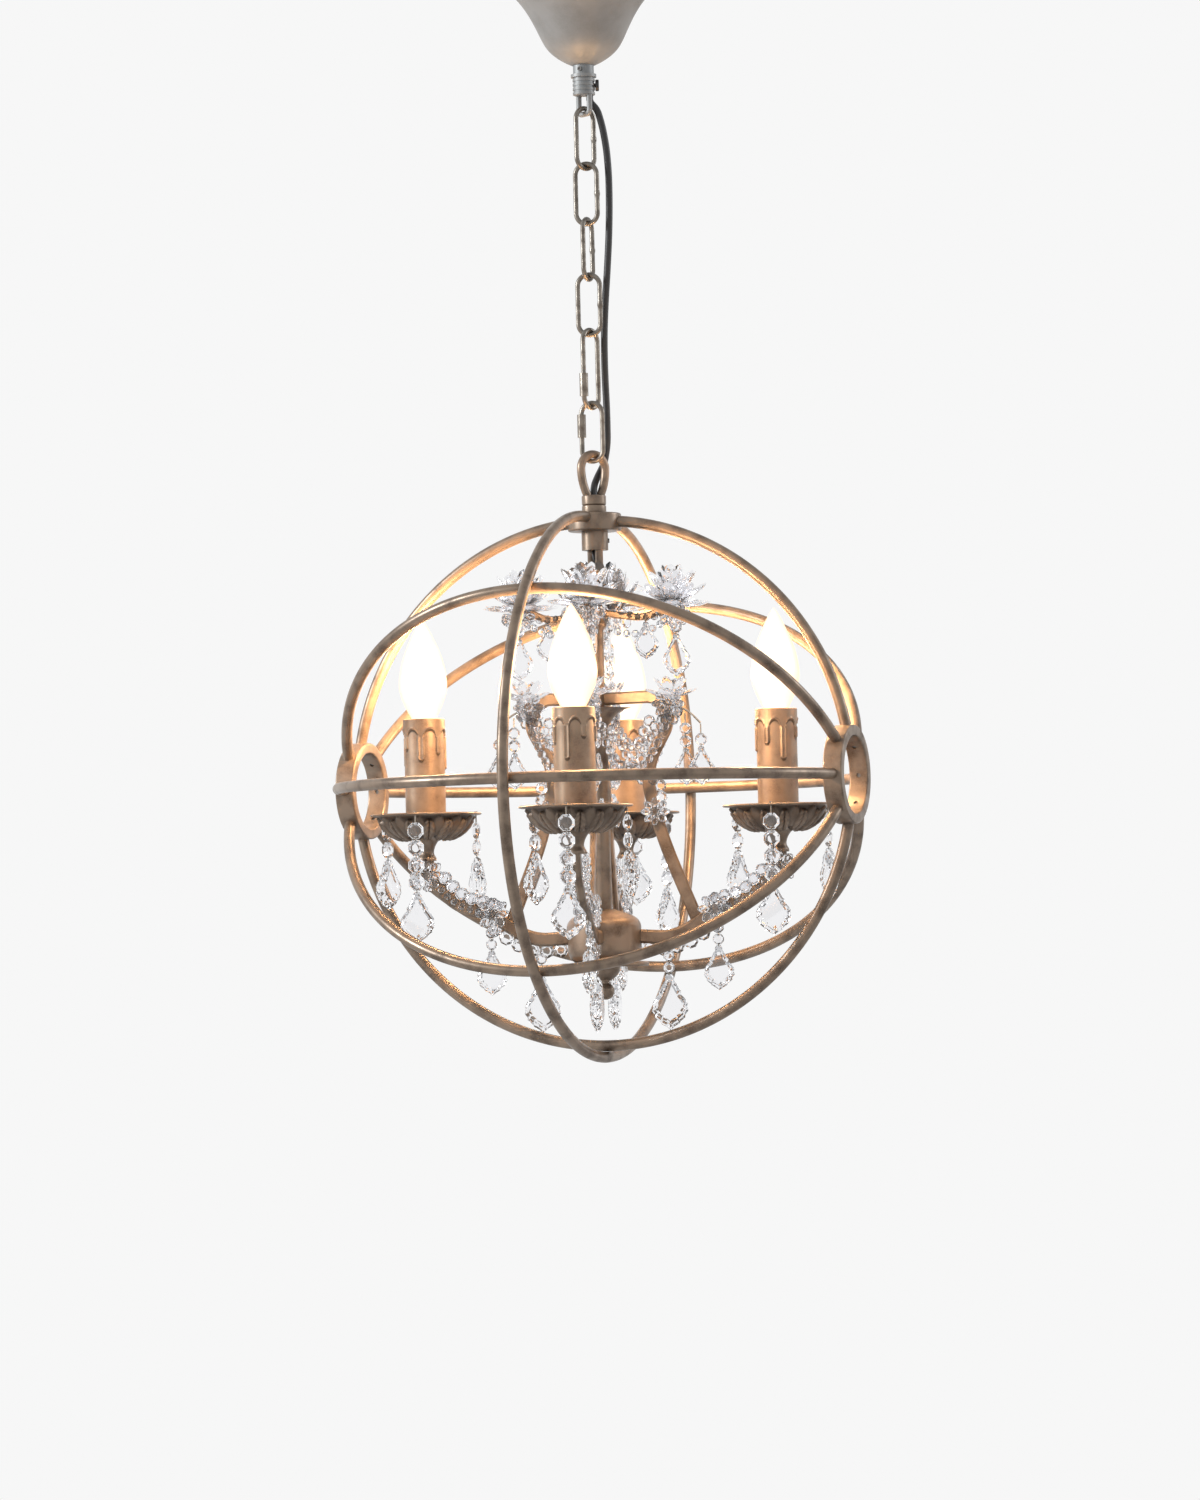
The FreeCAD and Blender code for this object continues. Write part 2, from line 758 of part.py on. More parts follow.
def hub_disc():
    body = disc(top_hub_radius, top_hub_height - 2 * seat_gap, hub_low + seat_gap)
    body = body.makeFillet(top_hub_rounding, [body.Edges[0], body.Edges[2]])
    body = body.cut(disc(nipple_radius + seat_gap, top_hub_height, hub_low))
    inner = top_hub_radius - bar_entry_depth - seat_gap
    core = disc(inner, top_hub_height, hub_low)
    sockets = [in_orb(hoop_arc(hoop_radius, 80, 100, bar_radius + seat_gap)),
               in_orb(round_rod(cross_path(entry=inner), bar_radius + seat_gap))]
    for socket in sockets:
        body = body.cut(socket.cut(core))
    return body


def side_hubs():
    hubs = []
    for sign in (-1, 1):
        low = sign * side_hub_place() - side_hub_length / 2
        body = Part.makeCylinder(side_hub_radius, side_hub_length, Vec(low, 0, 0), east)
        body = body.cut(Part.makeCylinder(side_hub_bore_radius, side_hub_length, Vec(low, 0, 0), east))
        body = body.makeFillet(side_hub_rounding, [e for e in body.Edges if e.Closed])
        for turn in screw_turns():
            body = body.cut(side_hub_screw(sign, turn, hub_screw_radius + seat_gap, side_hub_bore_radius - 2,
                                           side_hub_radius - side_hub_bore_radius + 4))
        hubs.append(in_orb(body))
    return hubs


def hub_screws():
    return [in_orb(side_hub_screw(sign, turn, hub_screw_radius, screw_start(), hub_screw_length))
            for sign in (-1, 1) for turn in screw_turns()]


# Stem, crown, column and lower body

def stem_screw_cylinder(radius, start, length):
    low = polar(start, chain_turn, stem_low + stem_collar_height * 0.5)
    return Part.makeCylinder(radius, length, low, polar(1, chain_turn))


def stem_collar():
    """Collar, window with two posts and the floor that the column hangs from."""
    body = disc(stem_collar_radius, stem_collar_height - seat_gap, stem_low)
    body = body.cut(disc(nipple_radius + seat_gap, stem_collar_height, stem_low + window_floor))
    body = body.cut(disc(cable_bore_radius, stem_collar_height, stem_low - 1))
    posts = disc(stem_collar_radius * 0.86, window_height, window_low)
    posts = posts.common(Part.makeBox(window_post_width, 4 * stem_collar_radius, window_height,
                                      Vec(-window_post_width / 2, -2 * stem_collar_radius, window_low)))
    posts = posts.cut(disc(stem_collar_radius * 0.6, window_height - window_floor, window_low + window_floor))
    posts = turned(posts, 45)
    floor = disc(stem_collar_radius * 0.86, window_floor, window_low)
    body = body.fuse([posts, floor]).cut(disc(column_radius + seat_gap, 2 * window_floor, window_low - 1))
    return body.cut(stem_screw_cylinder(set_screw_radius + seat_gap, nipple_radius, stem_collar_radius)).removeSplitter()


def stem_set_screw():
    return stem_screw_cylinder(set_screw_radius, nipple_radius + play, set_screw_length * 1.6)


def stem_wires():
    """Two insulated wires that twist once round each other between the nipple and the column."""
    wires = []
    top, low = stem_low, window_low + window_floor + 2
    for half in (0, 180):
        count = 5
        points = [polar(stem_wire_offset, half + 150 * i / (count - 1), top + (low - top) * i / (count - 1))
                  for i in range(count)]
        wires.append(round_rod(rounded_path(points)[0], stem_wire_radius))
    return wires


def crown_bell():
    height = bell_height
    outer = [(bell_top_radius, height), (bell_top_radius * 1.05, height * 0.7), (bell_top_radius * 1.3, height * 0.4),
             (bell_lip_radius, 0)]
    inner = [(bell_lip_radius - bell_wall, 0), (bell_top_radius * 1.3 - bell_wall, height * 0.33),
             (column_radius + bell_wall, height * 0.6)]
    hole = column_radius + seat_gap
    bell = lathe(outer, [outer[-1], inner[0]], inner, [inner[-1], (hole, height * 0.6)],
                 [(hole, height * 0.6), (hole, height)], [(hole, height), outer[0]])
    return moved(bell, z=bell_low - seat_gap)


def crown_arms():
    """Short scrolls that spring from the column under the bell and curl up at their ends."""
    return around(scroll_bar(), arm_count, arm_turn - 90)


def scroll_bar():
    low = bell_low - scroll_drop
    points = [(0, low + 1), (column_radius + 12, low - 3), (scroll_reach * 0.62, low - 5), (scroll_reach - 7, low + 2),
              (scroll_reach, low + 12), (scroll_reach - 9, low + 19)]
    return flat_bar(points, scroll_width, scroll_thickness).cut(column_space())


def column_space():
    """What the column and a seat gap take, for the pieces that end on it."""
    return disc(column_radius + seat_gap, hub_low - body_low, body_low)


def centre_column():
    top = window_low + window_floor + 1.5
    bead_middle = window_low - bead_drop - bead_height / 2
    r, low = column_radius, cap_low
    half = bead_height / 2
    profile_low = [(r, bead_middle - half), (bead_radius * 0.8, bead_middle - half * 0.55), (bead_radius, bead_middle),
                   (bead_radius * 0.8, bead_middle + half * 0.55), (r, bead_middle + half)]
    b = column_bore_radius
    return lathe([(b, low), (r, low)], [(r, low), profile_low[0]], profile_low, [profile_low[-1], (r, top)],
                 [(r, top), (b, top)], [(b, top), (b, low)])


def mid_cup():
    """Trumpet cup and the stem below it, one turned piece."""
    hole = column_radius + seat_gap
    lip = [(cup_stem_radius, cup_low), (cup_stem_radius + 3, cup_low + cup_height * 0.35),
           (cup_radius * 0.62, cup_low + cup_height * 0.75), (cup_radius, cup_top)]
    bowl = [(cup_radius - 1, cup_top), (cup_radius * 0.6, cup_low + cup_height * 0.86), (hole + 1, cup_low + cup_height * 0.5)]
    return lathe([(hole, body_top), (cup_stem_radius, body_top)], [(cup_stem_radius, body_top), lip[0]], lip,
                 [lip[-1], bowl[0]], bowl, [bowl[-1], (hole, bowl[-1][1])], [(hole, bowl[-1][1]), (hole, body_top)])


def lower_body():
    r, hole = body_radius, column_radius + seat_gap
    shoulder = [(cup_stem_radius + 2, body_top - seat_gap), (r * 0.62, body_top - body_shoulder * 0.3),
                (r * 0.9, body_top - body_shoulder * 0.7), (r, body_top - body_shoulder * 1.3)]
    low = body_low + seat_gap
    foot = [(r, body_low + body_shoulder), (r * 0.96, body_low + body_shoulder * 0.5), (r * 0.8, low)]
    return lathe([(hole, body_top - seat_gap), shoulder[0]], shoulder, [shoulder[-1], foot[0]], foot,
                 [foot[-1], (hole, low)], [(hole, low), (hole, body_top - seat_gap)])


def bottom_plate():
    hole = column_radius + seat_gap
    plate = ring(plate_radius, hole, plate_thickness - seat_gap, plate_low)
    outer = [e for e in plate.Edges if e.Closed and abs(e.Curve.Radius - plate_radius) < 0.01]
    return plate.makeFillet(plate_thickness * 0.35, outer)


def bottom_finial():
    """Turned cap with a short neck and a ball; it screws onto the column."""
    hole = column_radius + seat_gap
    top, neck = plate_low - seat_gap, cap_low - ball_neck_height
    bowl = [(cap_radius, top - 1.5), (cap_radius * 0.86, top - cap_height * 0.5), (ball_neck_radius, cap_low)]
    sweep = math.asin(ball_neck_radius / ball_radius)
    centre = neck - ball_radius * math.cos(sweep)
    ball = [(ball_radius * math.sin(a), centre + ball_radius * math.cos(a))
            for a in [sweep + (math.pi - sweep) * i / 6 for i in range(7)]]
    ball[-1] = (0, centre - ball_radius)
    return lathe([(hole, top), (cap_radius, top)], [(cap_radius, top), bowl[0]], bowl, [bowl[-1], ball[0]], ball,
                 [ball[-1], (0, cap_low - seat_gap)], [(0, cap_low - seat_gap), (hole, cap_low - seat_gap)],
                 [(hole, cap_low - seat_gap), (hole, top)])


# Arms and candles

def arm_points():
    """Out of the body, up to the crystals' knot, flatter, then steeply up under the cup."""
    reach, low = candle_circle_radius, arm_root_height
    return [(body_radius * 0.8, low), (reach * 0.42, low - arm_sag), (reach * 0.63, low + arm_knot_rise),
            (reach * 0.83, low + arm_elbow_rise), (reach, arm_cup_low - arm_neck_drop), (reach, arm_cup_low - seat_gap)]


def arm_bar():
    bar = flat_bar(arm_points(), arm_height, arm_thickness)
    return bar.cut(disc(body_radius + seat_gap, body_height, body_low))


def arms():
    return around(arm_bar(), arm_count, arm_turn - 90)


def lyre_points():
    top = cup_top + lyre_top_rise
    land = arm_root_height + lyre_landing_rise
    return [(0, top), (candle_circle_radius * 0.34, top + 1), (candle_circle_radius * 0.4, top - 17),
            (candle_circle_radius * 0.25, top - 52), (candle_circle_radius * 0.34, top - 100), (candle_circle_radius * 0.53, land)]


def lyre_bars():
    bar = flat_bar(lyre_points(), lyre_height, lyre_thickness).cut(column_space())
    bar = bar.cut(flat_bar(arm_points(), arm_height + 2 * seat_gap, arm_thickness + 2))
    pieces = sorted(bar.Solids, key=lambda s: s.Volume)
    return around(pieces[-1], arm_count, arm_turn - 90)


def on_arms(shape):
    return around(moved(shape, x=candle_circle_radius), arm_count, arm_turn - 90)


def arm_cups():
    r, low, top = arm_cup_radius, arm_cup_low, pan_low - seat_gap
    height = top - low
    pin_top = pan_floor + arm_pin_height
    side = [(r, low), (r, low + height * 0.12), (r * 0.78, low + height * 0.3), (r * 0.84, low + height * 0.55),
            (r * 1.25, low + height * 0.85), (pan_foot_radius - 1, top)]
    cup = lathe([(0, low), side[0]], side, [side[-1], (arm_pin_radius, top)], [(arm_pin_radius, top), (arm_pin_radius, pin_top)],
                [(arm_pin_radius, pin_top), (0, pin_top)], [(0, pin_top), (0, low)])
    return on_arms(cup)


def pin_circle_radius():
    return pan_radius - pan_lip_width / 2


def candle_place(place):
    return polar(candle_circle_radius, arm_turn - 90 + 360 * arm_places.index(place) / arm_count)


def pan_strands(place):
    """The headings of one pan's strands; the rear pan is turned so that none of them meets its arm."""
    extra = rear_strand_turn if place == "rear" else 0
    return [(heading + extra, octagons) for heading, octagons in strand_forms]


def drip_pans():
    """A dish with a flat lip that is pierced for the crystals' pins."""
    foot, low, depth = pan_foot_radius, pan_low, pan_depth - pan_wall
    spread = pan_radius - pan_lip_width - foot
    outer = [(foot + spread * s, low + depth * h)
             for s, h in [(0, 0), (0.42, 0.21), (0.66, 0.46), (0.84, 0.7), (1.0, 1.0)]]
    inner = inset(outer, pan_wall)
    inner[0] = (foot + pan_wall, pan_floor)
    inner[-1] = (outer[-1][0] - 0.7 * pan_wall, pan_rim)
    hole = arm_pin_radius + seat_gap
    under = (pan_radius, pan_rim - pan_wall)
    edge = (pan_radius, pan_rim)
    pan = lathe(outer, [outer[-1], under], [under, edge], [edge, inner[-1]], inner[::-1], [inner[0], (hole, pan_floor)],
                [(hole, pan_floor), (hole, low)], [(hole, low), outer[0]])
    hole = moved(disc(pin_hole_radius, 4 * pan_wall, pan_rim - 2 * pan_wall), pin_circle_radius())
    made = []
    for place in arm_places:
        centre = candle_place(place)
        pierced = pan
        for heading, _ in pan_strands(place):
            pierced = pierced.cut(turned(hole, heading))
        made.append(moved(pierced, centre.x, centre.y))
    return made


def lampholders():
    low = pan_floor + seat_gap
    holder = disc(holder_radius, holder_top - low, low)
    holder = holder.cut(disc(arm_pin_radius + seat_gap, arm_pin_height + seat_gap, low - seat_gap))
    holder = holder.cut(disc(holder_socket_radius, holder_socket_depth, holder_top - holder_socket_depth))
    return on_arms(holder)


def candle_sleeves():
    low = pan_floor + seat_gap
    sleeve = ring(sleeve_radius, sleeve_radius - sleeve_wall, sleeve_top - low, low)
    return on_arms(sleeve)


def bulb():
    """A screw base and a thin glass candle flame that stands on it."""
    base, low, foot = holder_socket_radius - thread_play, holder_top - bulb_base_length, holder_top + bulb_lift
    cap = lathe([(0, low), (base * 0.4, low)], [(base * 0.4, low), (base, low + 3)],
                [(base, low + 3), (base, foot)], [(base, foot), (0, foot)], [(0, foot), (0, low)])
    r, top, bottom = bulb_radius, foot + bulb_glass_height, foot + seat_gap
    share = [(base, 0), (base * 1.35, 0.06), (r * 0.93, 0.27), (r, 0.4), (r * 0.82, 0.62), (r * 0.42, 0.84),
             (r * 0.14, 0.96)]
    outer = [(x, bottom + (top - bottom) * h) for x, h in share] + [(0, top)]
    inner = inset(outer, bulb_wall)
    inner[0] = (base - bulb_wall, bottom)
    inner[-1] = (0, top - bulb_wall)
    glass = lathe(outer, [outer[-1], inner[-1]], inner[::-1], [inner[0], outer[0]])
    return Part.makeCompound([cap, glass])


def bulbs():
    return dict(zip(["bulb_" + place for place in arm_places], on_arms(bulb())))


# Crystals

def bevelled(outline, thickness, table=0.55):
    """A cut crystal standing in the XZ plane: its outline at mid thickness and a smaller copy on each side."""
    middle_z = sum(z for _, z in outline) / len(outline)

    def polygon(scale, y):
        points = [Vec(x * scale, y, middle_z + (z - middle_z) * scale) for x, z in outline]
        return Part.makePolygon(points + points[:1])

    sections = [polygon(table, -thickness / 2), polygon(1, 0), polygon(table, thickness / 2)]
    return Part.makeLoft(sections, True, True)


def octagon_crystal():
    outline = [(octagon_radius * math.sin(math.radians(45 * i + 22.5)), octagon_radius * math.cos(math.radians(45 * i + 22.5)))
               for i in range(8)]
    return bevelled(outline, octagon_thickness)


def pear_outline(width, height):
    """A drop: narrow above, round below, with its top at z = 0."""
    share = [(pear_neck, 0.0), (0.42, -0.2), (0.78, -0.42), (1.0, -0.66), (0.86, -0.88), (0.45, -0.98)]
    right = [(width / 2 * s, height * z) for s, z in share]
    return right + [(0, -height)] + [(-x, z) for x, z in right[::-1]]


def pear_crystal(width=pear_width, height=pear_height):
    return bevelled(pear_outline(width, height), pear_thickness)


def strand(octagons):
    """A headed pin through the pan's lip, octagons and a drop, hanging plumb below it."""
    head_low = pan_rim + pin_head_lift
    pieces = [disc(pin_head_radius, pin_head_height, head_low).fuse(
        disc(pin_radius, pin_length + head_low - pan_rim, pan_rim - pin_length)).removeSplitter()]
    low = pan_rim - pin_length
    for _ in range(octagons):
        middle = low - seat_gap - octagon_radius * math.cos(math.radians(22.5))
        pieces.append(turned(moved(octagon_crystal(), z=middle), 90))
        low = 2 * middle - low
        pieces.append(disc(pin_radius, pin_gap - seat_gap, low - pin_gap))
        low = low - pin_gap
    pieces.append(turned(moved(pear_crystal(), z=low - seat_gap), 90))
    return moved(Part.makeCompound(pieces), x=pin_circle_radius())


def strands():
    made = {}
    for place in arm_places:
        centre = candle_place(place)
        for k, (heading, octagons) in enumerate(pan_strands(place)):
            made[f"pendant_{place}_{k + 1}"] = [moved(turned(strand(octagons), heading), centre.x, centre.y)]
    return made


def rosette():
    """A daisy that lies in the XZ plane with its back on y = 0."""
    count = 2 * rosette_petals
    outline = [(rosette_radius * (1.0 if i % 2 else 0.8) * math.sin(2 * math.pi * i / count),
                rosette_radius * (1.0 if i % 2 else 0.8) * math.cos(2 * math.pi * i / count)) for i in range(count)]

    def polygon(scale, y):
        points = [Vec(x * scale, y, z * scale) for x, z in outline]
        return Part.makePolygon(points + points[:1])

    t = rosette_thickness
    return Part.makeLoft([polygon(0.55, 0), polygon(1, -t * 0.35), polygon(0.5, -t)], True, True)


def rosettes():
    """On both faces of each arm, at its end below the pan and above the lower body's side."""
    face = arm_thickness / 2 + seat_gap
    one = moved(rosette(), y=-face)
    pair = [one, turned(one, 180)]
    made = []
    for x, z in rosette_places():
        for flower in pair:
            made += around(moved(flower, x, z=z), arm_count, arm_turn - 90)
    return made


def rosette_places():
    points = arm_points()
    return [(points[-1][0], points[-1][1] - rosette_radius - play), points[2]]


def beads():
    """Small faceted beads side by side under each arm."""
    path, _ = rounded_path([Vec(x, 0, z) for x, z in arm_points()[:5]])
    below = arm_height / 2 + bead_crystal_radius + seat_gap
    made, last, distance = [], None, bead_start
    while distance < path.Length - bead_end:
        place, heading = point_along(path, distance)
        down = heading.cross(Vec(0, 1, 0)).normalize()
        if down.z > 0:
            down = down * -1
        centre = place + down * below
        if (last is None or centre.distanceToPoint(last) >= bead_pitch) and not near_drop(centre.x):
            made += around(moved(lathe(*bead_outline()), centre.x, 0, centre.z), arm_count, arm_turn - 90)
            last = centre
        distance += bead_pitch / 14
    return made


def near_drop(x):
    return any(abs(x - place) < bead_pitch * 1.3 for place, _, _ in low_drop_places)


def bead_outline():
    r = bead_crystal_radius
    points = [(0, -r), (r * 0.7, -r * 0.7), (r, 0), (r * 0.7, r * 0.7), (0, r)]
    return [[points[i], points[i + 1]] for i in range(4)] + [[points[4], points[0]]]


def point_along(path, distance):
    for edge in path.Edges:
        if distance <= edge.Length:
            at = edge.getParameterByLength(distance)
            return edge.valueAt(at), edge.tangentAt(at)
        distance -= edge.Length
    last = path.Edges[-1]
    return last.valueAt(last.LastParameter), last.tangentAt(last.LastParameter)


def drop_below(x, z, width, height):
    """A pin and a drop that hang from (x, z) in an arm's plane, the drop's face to the side."""
    top = z - 1.2 * pin_radius
    pin = disc(pin_radius, pin_length / 2, top - pin_length / 2)
    pear = moved(pear_crystal(width, height), z=top - seat_gap - pin_length / 2)
    return moved(Part.makeCompound([pin, pear]), x=x)


def underside(bar, reach):
    """The lowest height of a bar at one distance from the column."""
    probe = Part.makeLine(Vec(reach, 0, body_low - body_height), Vec(reach, 0, hub_low))
    return bar.common(probe).BoundBox.ZMin


def low_drops():
    bar, made = arm_bar(), []
    for reach, width, height in low_drop_places:
        made += around(drop_below(reach, underside(bar, reach), width, height), arm_count, arm_turn - 90)
    return made


def crown_drops():
    reach = scroll_reach * crown_drop_share
    drop = drop_below(reach, underside(scroll_bar(), reach), crown_drop_width, crown_drop_height)
    return around(drop, arm_count, arm_turn - 90)


def crown_leaves():
    """Upright leaves in a ring round the bell's lip."""
    w, h = leaf_width / 2, leaf_height
    outline = [(0, h), (w * 0.7, h * 0.72), (w, h * 0.4), (w * 0.6, 0), (-w * 0.6, 0), (-w, h * 0.4), (-w * 0.7, h * 0.72)]
    leaf = moved(bevelled(outline, leaf_thickness), y=-(bell_lip_radius + leaf_clearance), z=bell_low - 1)
    return around(leaf, leaf_count, 11)


def crystal_trim():
    return rosettes() + beads() + low_drops() + crown_drops() + crown_leaves()


nodes = {
    "ceiling_bracket": [ceiling_bracket()],
    "canopy_nipple": [canopy_nipple()],
    "nipple_nuts": nipple_nuts(),
    "canopy": [canopy()],
    "canopy_collar": [canopy_collar()],
    "canopy_set_screw": [canopy_set_screw()],
    "cord_clamp_screw": [cord_clamp_screw()],
    "suspension_yoke": [suspension_yoke()],
    "terminal_block": [terminal_block()],
    "terminal_screws": terminal_screws(),
    "canopy_cable": canopy_cable(),
    "chain_links": chain_links(),
    "quick_link_upper": [hang(lock_link(upper_lock_opening, upper_gap_low()), upper_lock_turn, lock_upper_top)],
    "quick_link_lower": [hang(lock_link(lower_lock_opening, lower_gap_low()), lower_lock_turn, lock_lower_top)],
    "upper_link_nut": [hang(lock_nut(upper_nut_low()), upper_lock_turn, lock_upper_top)],
    "lower_link_nut": [hang(lock_nut(lower_nut_low()), lower_lock_turn, lock_lower_top)],
    "supply_cable": [supply_cable()],
    "top_loop": [top_loop()],
    "loop_collar": [loop_collar()],
    "hub_nipple": [hub_nipple()],
    "hub_disc": [hub_disc()],
    "side_hubs": side_hubs(),
    "hub_screws": hub_screws(),
    "vertical_hoop": vertical_hoop(),
    "cross_hoop": [cross_hoop()],
    "horizontal_hoop": horizontal_hoop(),
    "tilted_hoops": tilted_hoops(),
    "stem_collar": [stem_collar()],
    "stem_set_screw": [stem_set_screw()],
    "stem_wires": stem_wires(),
    "crown_bell": [crown_bell()],
    "crown_arms": crown_arms(),
    "centre_column": [centre_column()],
    "mid_cup": [mid_cup()],
    "lyre_bars": lyre_bars(),
    "lower_body": [lower_body()],
    "bottom_plate": [bottom_plate()],
    "bottom_finial": [bottom_finial()],
    "arms": arms(),
    "arm_cups": arm_cups(),
    "drip_pans": drip_pans(),
    "lampholders": lampholders(),
    "candle_sleeves": candle_sleeves(),
    "crystal_trim": crystal_trim(),
}
nodes.update({name: [shape] for name, shape in bulbs().items()})
nodes.update(strands())

for name, shapes in nodes.items():
    save(name, shapes)
print("nodes", len(nodes), "yoke bar", yoke_bar_height, "orb pivot", orb_pivot_height, "orb centre", round(orb_height, 2))
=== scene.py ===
import json
import math

import bmesh
import bpy
import numpy as np
from mathutils import Matrix, Vector

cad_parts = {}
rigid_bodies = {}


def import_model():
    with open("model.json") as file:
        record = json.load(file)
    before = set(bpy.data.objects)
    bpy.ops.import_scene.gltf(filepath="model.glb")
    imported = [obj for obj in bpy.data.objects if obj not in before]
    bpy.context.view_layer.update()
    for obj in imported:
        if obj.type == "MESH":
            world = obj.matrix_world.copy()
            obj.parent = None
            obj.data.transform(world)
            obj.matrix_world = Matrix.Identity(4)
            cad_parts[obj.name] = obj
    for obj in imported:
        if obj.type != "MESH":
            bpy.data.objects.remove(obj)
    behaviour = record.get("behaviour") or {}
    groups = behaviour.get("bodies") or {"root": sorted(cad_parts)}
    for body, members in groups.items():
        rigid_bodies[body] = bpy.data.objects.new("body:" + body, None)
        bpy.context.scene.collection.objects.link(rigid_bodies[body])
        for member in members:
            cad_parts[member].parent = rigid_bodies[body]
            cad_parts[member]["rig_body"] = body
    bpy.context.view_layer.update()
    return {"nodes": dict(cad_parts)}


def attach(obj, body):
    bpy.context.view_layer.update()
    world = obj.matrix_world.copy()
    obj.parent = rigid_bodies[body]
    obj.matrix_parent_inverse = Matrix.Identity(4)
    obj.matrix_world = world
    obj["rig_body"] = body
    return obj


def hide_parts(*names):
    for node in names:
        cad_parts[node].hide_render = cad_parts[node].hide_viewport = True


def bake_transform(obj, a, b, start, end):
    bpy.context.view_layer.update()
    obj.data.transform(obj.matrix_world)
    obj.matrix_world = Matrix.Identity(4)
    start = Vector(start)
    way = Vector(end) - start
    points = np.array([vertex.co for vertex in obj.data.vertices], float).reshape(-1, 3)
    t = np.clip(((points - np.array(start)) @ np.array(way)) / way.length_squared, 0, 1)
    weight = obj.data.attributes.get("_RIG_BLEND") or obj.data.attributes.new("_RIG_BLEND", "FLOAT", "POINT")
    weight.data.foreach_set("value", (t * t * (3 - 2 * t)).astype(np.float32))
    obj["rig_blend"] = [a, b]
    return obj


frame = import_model()
cadNodes = frame["nodes"]

mm = 0.001
places = ["front", "right", "rear", "left"]

# Everything below is worked out in millimetres in the row's frame, and addPiece turns it into metres.


# Shapes worked out with numpy, which every piece uses.

def turned(points, degrees, axis="z"):
    # each point turned about one of the frame's axes by the right-hand rule
    c, s = math.cos(math.radians(degrees)), math.sin(math.radians(degrees))
    x, y, z = points[..., 0], points[..., 1], points[..., 2]
    if axis == "x":
        return np.stack([x, y * c - z * s, y * s + z * c], -1)
    return np.stack([x * c - y * s, x * s + y * c, z], -1)


def gridMesh(points, closed=False):
    # quads between neighbouring points of a grid whose rows are rings; a closed grid joins its last row to its first
    rows, cols = points.shape[:2]
    index = np.arange(rows * cols).reshape(rows, cols)
    if closed:
        index = np.vstack([index, index[:1]])
    index = np.hstack([index, index[:, :1]])
    quads = np.stack([index[:-1, :-1], index[1:, :-1], index[1:, 1:], index[:-1, 1:]], -1)
    return points.reshape(-1, 3), quads.reshape(-1, 4)


def smoothCurve(points, steps):
    # a Catmull-Rom curve through the points: each span is the usual cubic of its four neighbours
    p = np.asarray(points, float)
    padded = np.vstack([2 * p[0] - p[1], p, 2 * p[-1] - p[-2]])
    t = np.linspace(0, 1, steps, endpoint=False)[:, None, None]
    a, b, c, d = padded[:-3], padded[1:-2], padded[2:-1], padded[3:]
    spans = 0.5 * (2 * b + (c - a) * t + (2 * a - 5 * b + 4 * c - d) * t ** 2 + (3 * b - a - 3 * c + d) * t ** 3)
    return np.vstack([spans.transpose(1, 0, 2).reshape(-1, p.shape[1]), p[-1:]])


def spun(profile, sides, centre=(0.0, 0.0)):
    # a profile of (radius, height) carried round the vertical line through centre
    angle = np.arange(sides) * 2 * math.pi / sides
    r, z = profile[:, :1], profile[:, 1:]
    grid = np.stack([r * np.cos(angle) + centre[0], r * np.sin(angle) + centre[1], z + 0 * angle], -1)
    return gridMesh(grid)


def carried(path, radius, sides, across, closed=False):
    # a circle carried along a path; across is a direction that is never along the path
    if closed:
        heading = np.roll(path, -1, 0) - np.roll(path, 1, 0)
    else:
        heading = np.gradient(path, axis=0)
    heading /= np.linalg.norm(heading, axis=1, keepdims=True)
    side = np.cross(heading, np.asarray(across, float))
    side /= np.linalg.norm(side, axis=1, keepdims=True)
    over = np.cross(side, heading)
    angle = np.arange(sides) * 2 * math.pi / sides
    r = np.broadcast_to(np.asarray(radius, float).reshape(-1, 1, 1), (len(path), 1, 1))
    rims = r * (side[:, None] * np.cos(angle)[:, None] + over[:, None] * np.sin(angle)[:, None])
    grid = path[:, None] + rims
    if not closed:
        grid = np.concatenate([np.repeat(path[:1, None], sides, 1), grid, np.repeat(path[-1:, None], sides, 1)])
    return gridMesh(grid, closed)


def roundedLine(points, share=0.45, steps=7):
    # straight runs joined by arcs that touch both, cut back by a share of the shorter run
    p = np.asarray(points, float)
    line = [p[:1]]
    for i in range(1, len(p) - 1):
        arriving, leaving = p[i] - p[i - 1], p[i + 1] - p[i]
        before, after = np.linalg.norm(arriving), np.linalg.norm(leaving)
        cut = share * min(before, after)
        u, v = arriving / before, leaving / after
        bend = math.acos(np.clip(u @ v, -1, 1))
        first = p[i] - u * cut
        if bend < 1e-4:
            line.append(first[None])
            continue
        radius = cut / math.tan(bend / 2)
        inward = v - u * (u @ v)
        inward /= np.linalg.norm(inward)
        t = np.linspace(0, bend, steps)[:, None]
        line.append(first + radius * (np.sin(t) * u + (1 - np.cos(t)) * inward))
    line.append(p[-1:])
    return np.vstack(line)


def resampled(line, step):
    # points at equal distances along a line
    run = np.concatenate([[0], np.cumsum(np.linalg.norm(np.diff(line, axis=0), axis=1))])
    at = np.linspace(0, run[-1], max(2, int(round(run[-1] / step)) + 1))
    return np.stack([np.interp(at, run, line[:, k]) for k in range(line.shape[1])], -1)


def joined(parts):
    # several meshes as one: each one's faces are shifted by the vertices before it
    verts, faces, start = [], [], 0
    for v, f in parts:
        verts.append(v)
        faces.append(f + start)
        start += len(v)
    return np.vstack(verts), np.vstack(faces)


def placed(part, degrees=0.0, at=(0.0, 0.0, 0.0)):
    verts, faces = part
    return turned(verts, degrees) + np.asarray(at, float), faces


# From a shape to a piece of the scene.

